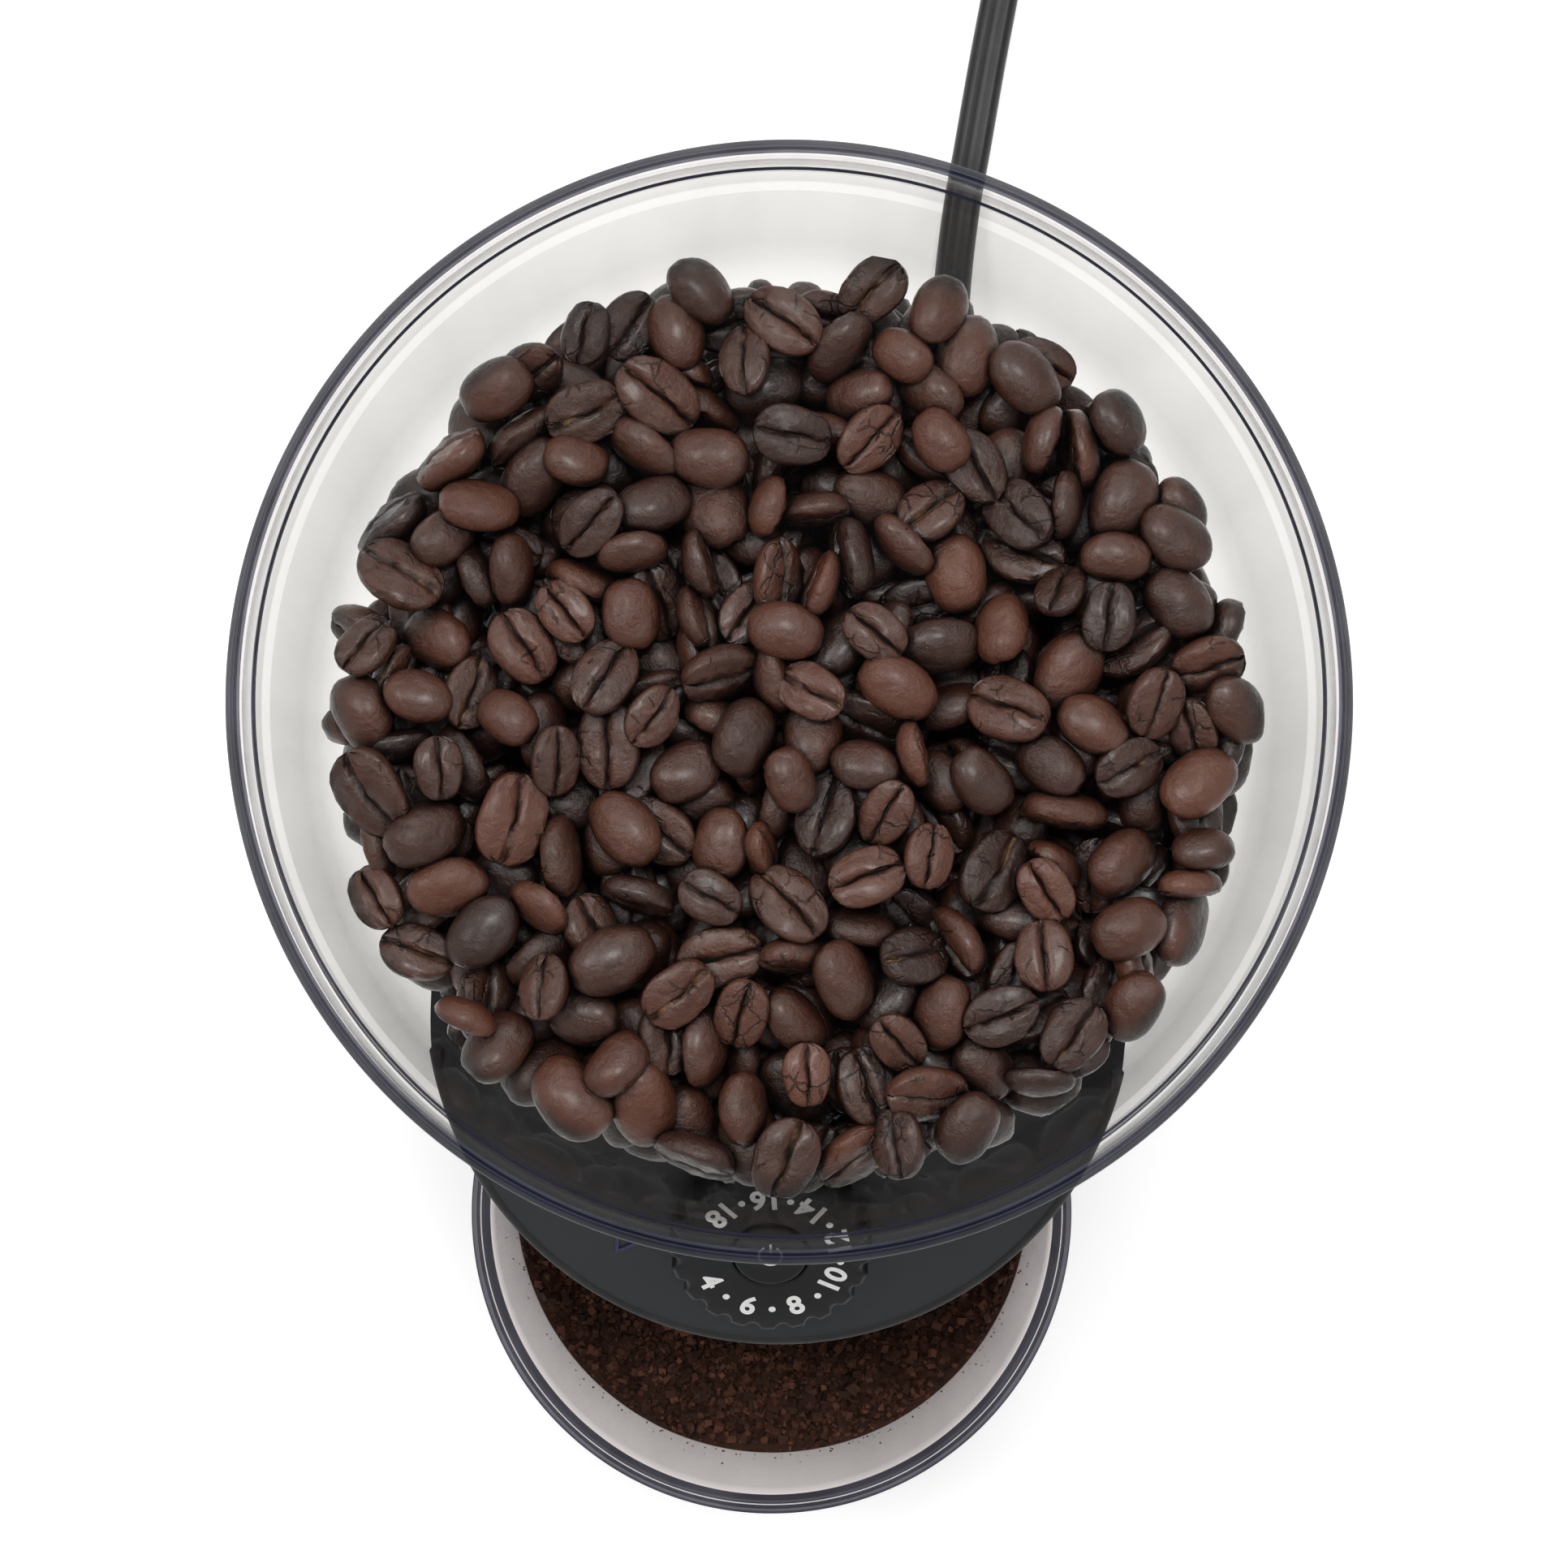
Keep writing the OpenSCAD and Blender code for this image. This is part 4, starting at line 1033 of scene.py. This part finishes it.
def cup_wall(z):
    """The inside radius of the cup's wall at a height."""
    return 45 + 2.3 * (z - 16.4) / 88.6


def grounds_body():
    """Side rings that follow the cup's inside, then rings shrinking over the rough top."""
    back = INNER_BACK - 0.35
    levels = [(42.6, back - 1.5, 14.3), (44.5, back, 16.6), (45.4, back, 48), (GROUNDS_R, back, GROUNDS_Z - 0.6)]
    rings = [[(x, y, z) for x, y in d_ring(r, b)] for r, b, z in levels]
    edge = np.array(rings[-1])[:, :2]
    middle = np.array([0, CUP_Y - 5])
    for s in np.linspace(0.995, 0.02, 60):
        rings.append([(x, y, min(grounds_height(x, y), 78.4)) for x, y in middle + (edge - middle) * s])
    return np.concatenate(rings), joined(len(rings), len(rings[0]))


def grains(count=9500, specks=170, seed=11):
    """Small broken grains over the top, and specks on the wall above it."""
    rng = np.random.default_rng(seed)
    cube = np.array([(x, y, z) for x in (-1, 1) for y in (-1, 1) for z in (-1, 1)], float)
    sides = [(0, 1, 3, 2), (4, 6, 7, 5), (0, 4, 5, 1), (2, 3, 7, 6), (0, 2, 6, 4), (1, 5, 7, 3)]
    points, faces, tones = [], [], []
    while len(tones) < count + specks:
        if len(tones) < count:
            r, a = 45.9 * math.sqrt(rng.random()), rng.uniform(0, 2 * np.pi)
            x, y = r * math.cos(a), CUP_Y + r * math.sin(a)
            size = float(np.clip(rng.lognormal(-0.52, 0.38), 0.25, 1.25))
            if y > INNER_BACK - 1.3 or r + size * 1.2 > 46.1:
                continue
            z = grounds_height(x, y) + rng.uniform(-0.3, 0.7)
        else:
            a, z = rng.uniform(0, 2 * np.pi), GROUNDS_Z + rng.exponential(5) + 0.5
            r, size = cup_wall(z) - 0.3, rng.uniform(0.08, 0.2)
            x, y = r * math.cos(a), CUP_Y + r * math.sin(a)
            if y > INNER_BACK - 1 or z > 96:
                continue
        shape = cube * rng.uniform(0.55, 1, (8, 3)) * (1, rng.uniform(0.55, 1), rng.uniform(0.45, 0.9))
        turn = np.array(Matrix.Rotation(rng.uniform(0, 6.28), 3, Vector(rng.normal(0, 1, 3)).normalized()))
        first = 8 * len(tones)
        points.append(shape * size @ turn.T + (x, y, z))
        faces += [[v + first for v in s] for s in sides]
        tones.append(np.full(8, rng.beta(0.9, 3.0)))
    return np.concatenate(points), faces, np.concatenate(tones)


def grounds_finish(name):
    f = Finish(name)
    fine = f.noise(1300.0, 4.0, 0.7)
    flecks = f.noise(900.0, 2.0, 0.5).within(0.62, 0.72)
    base = f.mix(f.kept("tone") + 0.2 * fine, (0.007, 0.0024, 0.0014), (0.17, 0.068, 0.04))
    base = f.mix(flecks * 0.25, base, (0.2, 0.1, 0.065))
    return f.done(f.surface(Base_Color=base, Roughness=0.6 + 0.2 * fine, Specular_IOR_Level=0.18,
                            Normal=f.bump(fine, 0.0003, 0.7)))


grounds_look = grounds_finish("ground_coffee")
body_points, body_faces = grounds_body()
grain_points, grain_faces, grain_tones = grains()
grounds = piece("grounds_body", body_points, body_faces, "cup", grounds_look, 60, "ground_coffee")
loose = piece("grounds_grains", grain_points, grain_faces, "cup", grounds_look, 20, "ground_coffee")
keep(grounds, "tone", np.full(len(body_points), 0.12))
keep(loose, "tone", grain_tones)
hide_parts("ground_coffee")
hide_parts("ground_coffee")
print("grains", len(grain_points) // 8)


# %% [markdown]
# ## Dial and button
# The cup dial is a scalloped black knob on the sloping panel, printed with the number of cups. A
# turned outline gives the knob, and its outer points are drawn in at 20 places for the finger notches.
# The start button sits in the middle. Its print is a plain power sign, which says the same thing as
# words. Both are drawn lying flat and then laid on the panel by one matrix.

# %% Panel frame
PANEL_TILT = math.radians(34)
PANEL_LOW = 132.0
PANEL_Y = -46.0


def panel_height(y):
    """The height of the sloping panel at a distance y; it is lowest at the front of the nose."""
    return PANEL_LOW + (y - (NOSE_Y - HOUSE_R)) * math.tan(PANEL_TILT)


PANEL_Z = panel_height(PANEL_Y)
panel = Matrix.Translation((0, PANEL_Y, PANEL_Z)) @ Matrix.Rotation(PANEL_TILT, 4, "X")


def on_panel(points):
    """Points drawn flat round the dial's centre, laid on the panel."""
    return [tuple(panel @ Vector(p)) for p in points]


print("panel centre z", round(PANEL_Z, 2), "dial box", [v.round(1) for v in span("cup_dial")])

# %% Dial
NOTCHES = 20
NOTCH_R = 1.4
DIAL_R = 16.0


def notched(x, y, z):
    """A point of the knob, drawn in where a finger notch is."""
    r = math.hypot(x, y)
    if r < DIAL_R - 3:
        return x, y, z
    pitch = 2 * math.pi / NOTCHES
    a = math.atan2(y, x) / pitch - 0.5
    off = (a - round(a)) * pitch * DIAL_R
    cut = max(0, math.sqrt(max(NOTCH_R**2 - off**2, 0)) - 0.35)
    k = (r - cut * min(1, (r - DIAL_R + 3) / 2)) / r
    return x * k, y * k, z


knob_outline = rounded(
    [(2.4, -11), (4, -11), (4, 0.7), (15.7, 0.7), (16, 1.2), (16, 5.6), (15.3, 6.5), (12.8, 6.5), (6.45, 6.5),
     (6.15, 6.2), (6.15, 2.0), (2.4, 2.0)],
    [0.2, 0.2, 0.2, 0.2, 0.2, 0.5, 0.5, 0, 0.2, 0.1, 0.2, 0.1],
)
points, faces, _ = lathe(knob_outline, 0, NOTCHES * 20)
dial = piece("dial_knob", on_panel([notched(*p) for p in points]), faces, "dial", dial_finish, 42, "dial_plastic")
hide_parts("cup_dial")

# %% [markdown]
# The numbers are pad-printed in white round the knob, with a dot between each two. Plain figures from
# Blender's own font become flat meshes that lie a hair above the knob. The ink is slightly thin in places.

# %% Printed numbers
NUMBER_R = 11.1
NUMBERS = {"4": -58, "6": -17, "8": 23, "10": 65, "12": 105, "14": 145, "16": 185, "18": 225}


def printed(text, height):
    """The outline of a number as flat faces, centred, in millimetres."""
    curve = bpy.data.curves.new("number", "FONT")
    curve.body, curve.size, curve.align_x, curve.align_y = text, height / 0.7, "CENTER", "CENTER"
    curve.resolution_u, curve.offset = 4, 0.045 * height
    obj = in_scene("number", curve)
    bpy.context.view_layer.update()
    mesh = bpy.data.meshes.new_from_object(obj.evaluated_get(bpy.context.evaluated_depsgraph_get()))
    made = [tuple(v.co) for v in mesh.vertices], [list(p.vertices) for p in mesh.polygons]
    bpy.data.objects.remove(obj)
    bpy.data.curves.remove(curve)
    bpy.data.meshes.remove(mesh)
    return made


def print_on_dial(marks, level):
    """Joins (points, faces, turn, radius) marks into one print lying on the dial."""
    points, faces = [], []
    for shape, sides, turn, radius in marks:
        place = Matrix.Rotation(math.radians(turn), 4, "Z") @ Matrix.Translation((0, -radius, level))
        faces += [[v + len(points) for v in f] for f in sides]
        points += [tuple(place @ Vector(p)) for p in shape]
    return on_panel(points), faces


def disc(radius, steps):
    """The points and the one face of a flat disc."""
    turn = np.arange(steps) * 2 * np.pi / steps
    return [(radius * math.cos(a), radius * math.sin(a), 0) for a in turn], [list(range(steps))]


turns = list(NUMBERS.values())
marks = [(*printed(text, 3.5), turn, NUMBER_R) for text, turn in NUMBERS.items()]
marks += [(*disc(0.56, 24), (a + b) / 2, NUMBER_R) for a, b in zip(turns, turns[1:], strict=False)]
widths = [p[0] for p in marks[3][0]]
print("number width", round(max(widths) - min(widths), 2), "mm")


def ink(name, colour):
    """Pad-printed ink, slightly thin in places."""
    f = Finish(name)
    thin = f.noise(900.0, 4.0, 0.6)
    base = f.mix(thin.within(0.45, 0.8) * 0.35, colour, tuple(c * 0.6 for c in colour))
    return f.done(f.surface(Base_Color=base, Roughness=0.5 + 0.1 * thin))


white_ink = ink("white_print", (0.86, 0.86, 0.85))
PRINT_LEVEL = 6.54
piece("dial_numbers", *print_on_dial(marks, PRINT_LEVEL), "dial", white_ink, 30, "dial_plastic")

# %% Start button
SIGN_LEVEL = 6.76
button_outline = rounded([(0, -9), (2, -9), (2, 4), (5.8, 4), (5.8, 6.75), (5.4, 6.85), (3.6, 6.7), (0, 6.62)],
                         [0, 0.2, 0.2, 0.2, 0.35, 0.2, 0.3, 0], 4)
points, faces, _ = lathe(button_outline, 0, 96)
button = piece("button_cap", on_panel(points), faces, "button", dial_finish, 42, "dial_plastic")
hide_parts("start_button")


def power_sign():
    """An open ring with a bar through its gap, tops towards the back."""
    ring = np.radians(np.linspace(122, 418, 40))
    outer = [(2.0 * math.cos(a), 2.0 * math.sin(a), SIGN_LEVEL) for a in ring]
    inner = [(1.65 * math.cos(a), 1.65 * math.sin(a), SIGN_LEVEL) for a in ring]
    n = len(ring)
    faces = [[i, i + 1, n + i + 1, n + i] for i in range(n - 1)]
    bar = [(x, y, SIGN_LEVEL) for x, y in ((-0.18, 0.5), (0.18, 0.5), (0.18, 2.3), (-0.18, 2.3))]
    return on_panel(outer + inner + bar), [*faces, [2 * n, 2 * n + 1, 2 * n + 2, 2 * n + 3]]


piece("button_sign", *power_sign(), "button", white_ink, 30, "dial_plastic")


# %% [markdown]
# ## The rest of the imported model
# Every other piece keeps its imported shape. The casings get their edges eased by a Bevel modifier after
# a Weld has joined the mesh, since a moulding has no knife edges, and each piece takes the finish
# that its material slot names.

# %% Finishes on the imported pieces
navy_ink = ink("navy_print", (0.02, 0.022, 0.085))
FINISHES = {
    "housing_plastic": housing_finish, "dark_plastic": dark_finish, "dial_plastic": dial_finish,
    "clear_plastic": clear_finish, "smoky_plastic": smoky_finish, "roast_coffee": roast_finish,
    "ground_coffee": grounds_look, "natural_plastic": natural_finish, "rubber": rubber_finish,
    "cord_rubber": cord_finish, "plug_plastic": plug_finish, "steel": steel_finish,
    "bearing_steel": bearing_finish, "burr_steel": burr_finish, "lamination_steel": stack_finish,
    "cast_alloy": alloy_finish, "copper": copper_finish, "brass": brass_finish, "felt": felt_finish,
    "circuit_board": circuit_finish, "navy_print": navy_ink,
}
slots = {part["node"]: part["material_slot"] for part in frame["record"]["subparts"]}
for name, obj in nodes.items():
    obj.data.materials.clear()
    obj.data.materials.append(FINISHES[slots[name]])
print("finishes used", len(set(slots.values())), "on", len(slots), "pieces")

# %% [markdown]
# A thin black bead is laid along the lower lip of the nose, where the sloping panel meets the rounded front, so
# that edge shows as a dark line.
# It is swept along that meeting line: a circle in plan, rising with the slope of the panel.

# %% Nose bead
BEAD_R = 0.95


def nose_edge(inset, drop, count=120):
    """The middle line of the bead, set in from the nose's side and down from the panel."""
    r = HOUSE_R - inset
    turn = np.radians(np.linspace(-173, -7, count))
    plan = [(r * math.cos(a), NOSE_Y + r * math.sin(a)) for a in turn]
    return [(x, y, panel_height(y) - drop) for x, y in plan]


bead_section = np.array([(BEAD_R * math.cos(a), BEAD_R * math.sin(a)) for a in np.arange(10) * np.pi / 5])
bead = piece("nose_bead", *swept(nose_edge(0.7, 0.75), bead_section), "housing", rubber_finish, 60, "rubber")
print("nose bead", len(bead.data.polygons), "faces")

# %% Eased edges
EASED = {"front_housing": 1.3, "rear_cover": 0.5, "base_plate": 0.6, "hopper_collar": 0.3, "rubber_feet": 0.3,
         "grounds_chute": 0.2, "burr_holder": 0.3, "timer_unit": 0.3, "cup_switch": 0.2, "control_board": 0.1}
SAME_POINT = 0.00001
for name, width in EASED.items():
    obj = nodes[name]
    obj.modifiers.new("joined", "WELD").merge_threshold = SAME_POINT
    ease = obj.modifiers.new("eased", "BEVEL")
    ease.width = width * MM
    ease.segments = 3
    ease.limit_method = "ANGLE"
    ease.angle_limit = math.radians(40)
    ease.harden_normals = False
print("eased", len(EASED), "pieces")

# %% [markdown]
# ## Floor and light
# The grinder stands on a plain pale table in soft studio light: a pale surround that is brighter near
# the horizon, and four soft round lamps: one high at the left, one overhead, a weak one at the right and
# one behind. The table glows a little, as a lit light table does, so it falls away to white.

# %% Floor
FLOOR_R = 3000


def floor():
    """A round table top: a ring of triangles in the middle and a ring of quads round it."""
    around = 48
    points = [(0, 0, 0)] + [(FLOOR_R * r * math.cos(a), FLOOR_R * r * math.sin(a), 0) for r in (0.1, 1)
                            for a in np.arange(around) * 2 * np.pi / around]
    sides = [(1 + k, 1 + (k + 1) % around) for k in range(around)]
    faces = [(0, a, b) for a, b in sides] + [(a, a + around, b + around, b) for a, b in sides]
    mesh = bpy.data.meshes.new("floor")
    mesh.from_pydata((np.array(points, float) * MM).tolist(), [], faces)
    f = Finish("pale_table")
    fine = f.noise(420.0, 3.0, 0.5)
    mesh.materials.append(f.done(f.surface(Base_Color=(0.97, 0.97, 0.97), Roughness=0.75 + 0.1 * fine,
                                           Emission_Color=(1, 1, 1), Emission_Strength=0.38)))
    obj = in_scene("floor", mesh)


floor()


# %% Lights
def lamp(name, place, aim, size, watts):
    """A round soft lamp at a place, in metres, turned to an aim."""
    data = bpy.data.lights.new(name, "AREA")
    data.shape = "DISK"
    data.size = size
    data.energy = watts
    obj = in_scene(name, data)
    obj.location = place
    obj.rotation_euler = (Vector(aim) - Vector(place)).to_track_quat("-Z", "Y").to_euler()


BODY_MIDDLE = (0, 0.03, 0.15)
lamp("key_light", (-0.75, 0.3, 1.45), BODY_MIDDLE, 0.5, 6)
lamp("top_light", (0.05, 0.3, 1.5), BODY_MIDDLE, 0.32, 7)
lamp("fill_light", (1.2, -0.5, 1.3), BODY_MIDDLE, 1.0, 2.5)
lamp("back_light", (0.1, 1.3, 1.2), (0, 0.03, 0.2), 0.8, 4)

# %% Surround
world = bpy.data.worlds.new("studio")
bpy.context.scene.world = world
world.use_nodes = True
tree = world.node_tree
sky = tree.nodes["Background"]
split = tree.nodes.new("ShaderNodeSeparateXYZ")
rise = tree.nodes.new("ShaderNodeMapRange")
tree.links.new(tree.nodes.new("ShaderNodeTexCoord").outputs["Generated"], split.inputs[0])
tree.links.new(split.outputs["Z"], rise.inputs["Value"])
for socket, value in (("From Min", 0.1), ("From Max", 0.75), ("To Min", 0.95), ("To Max", 0.22)):
    rise.inputs[socket].default_value = value
tree.links.new(rise.outputs[0], sky.inputs["Strength"])
sky.inputs["Color"].default_value = (1, 1, 1, 1)
bpy.context.scene.view_settings.view_transform = "Standard"
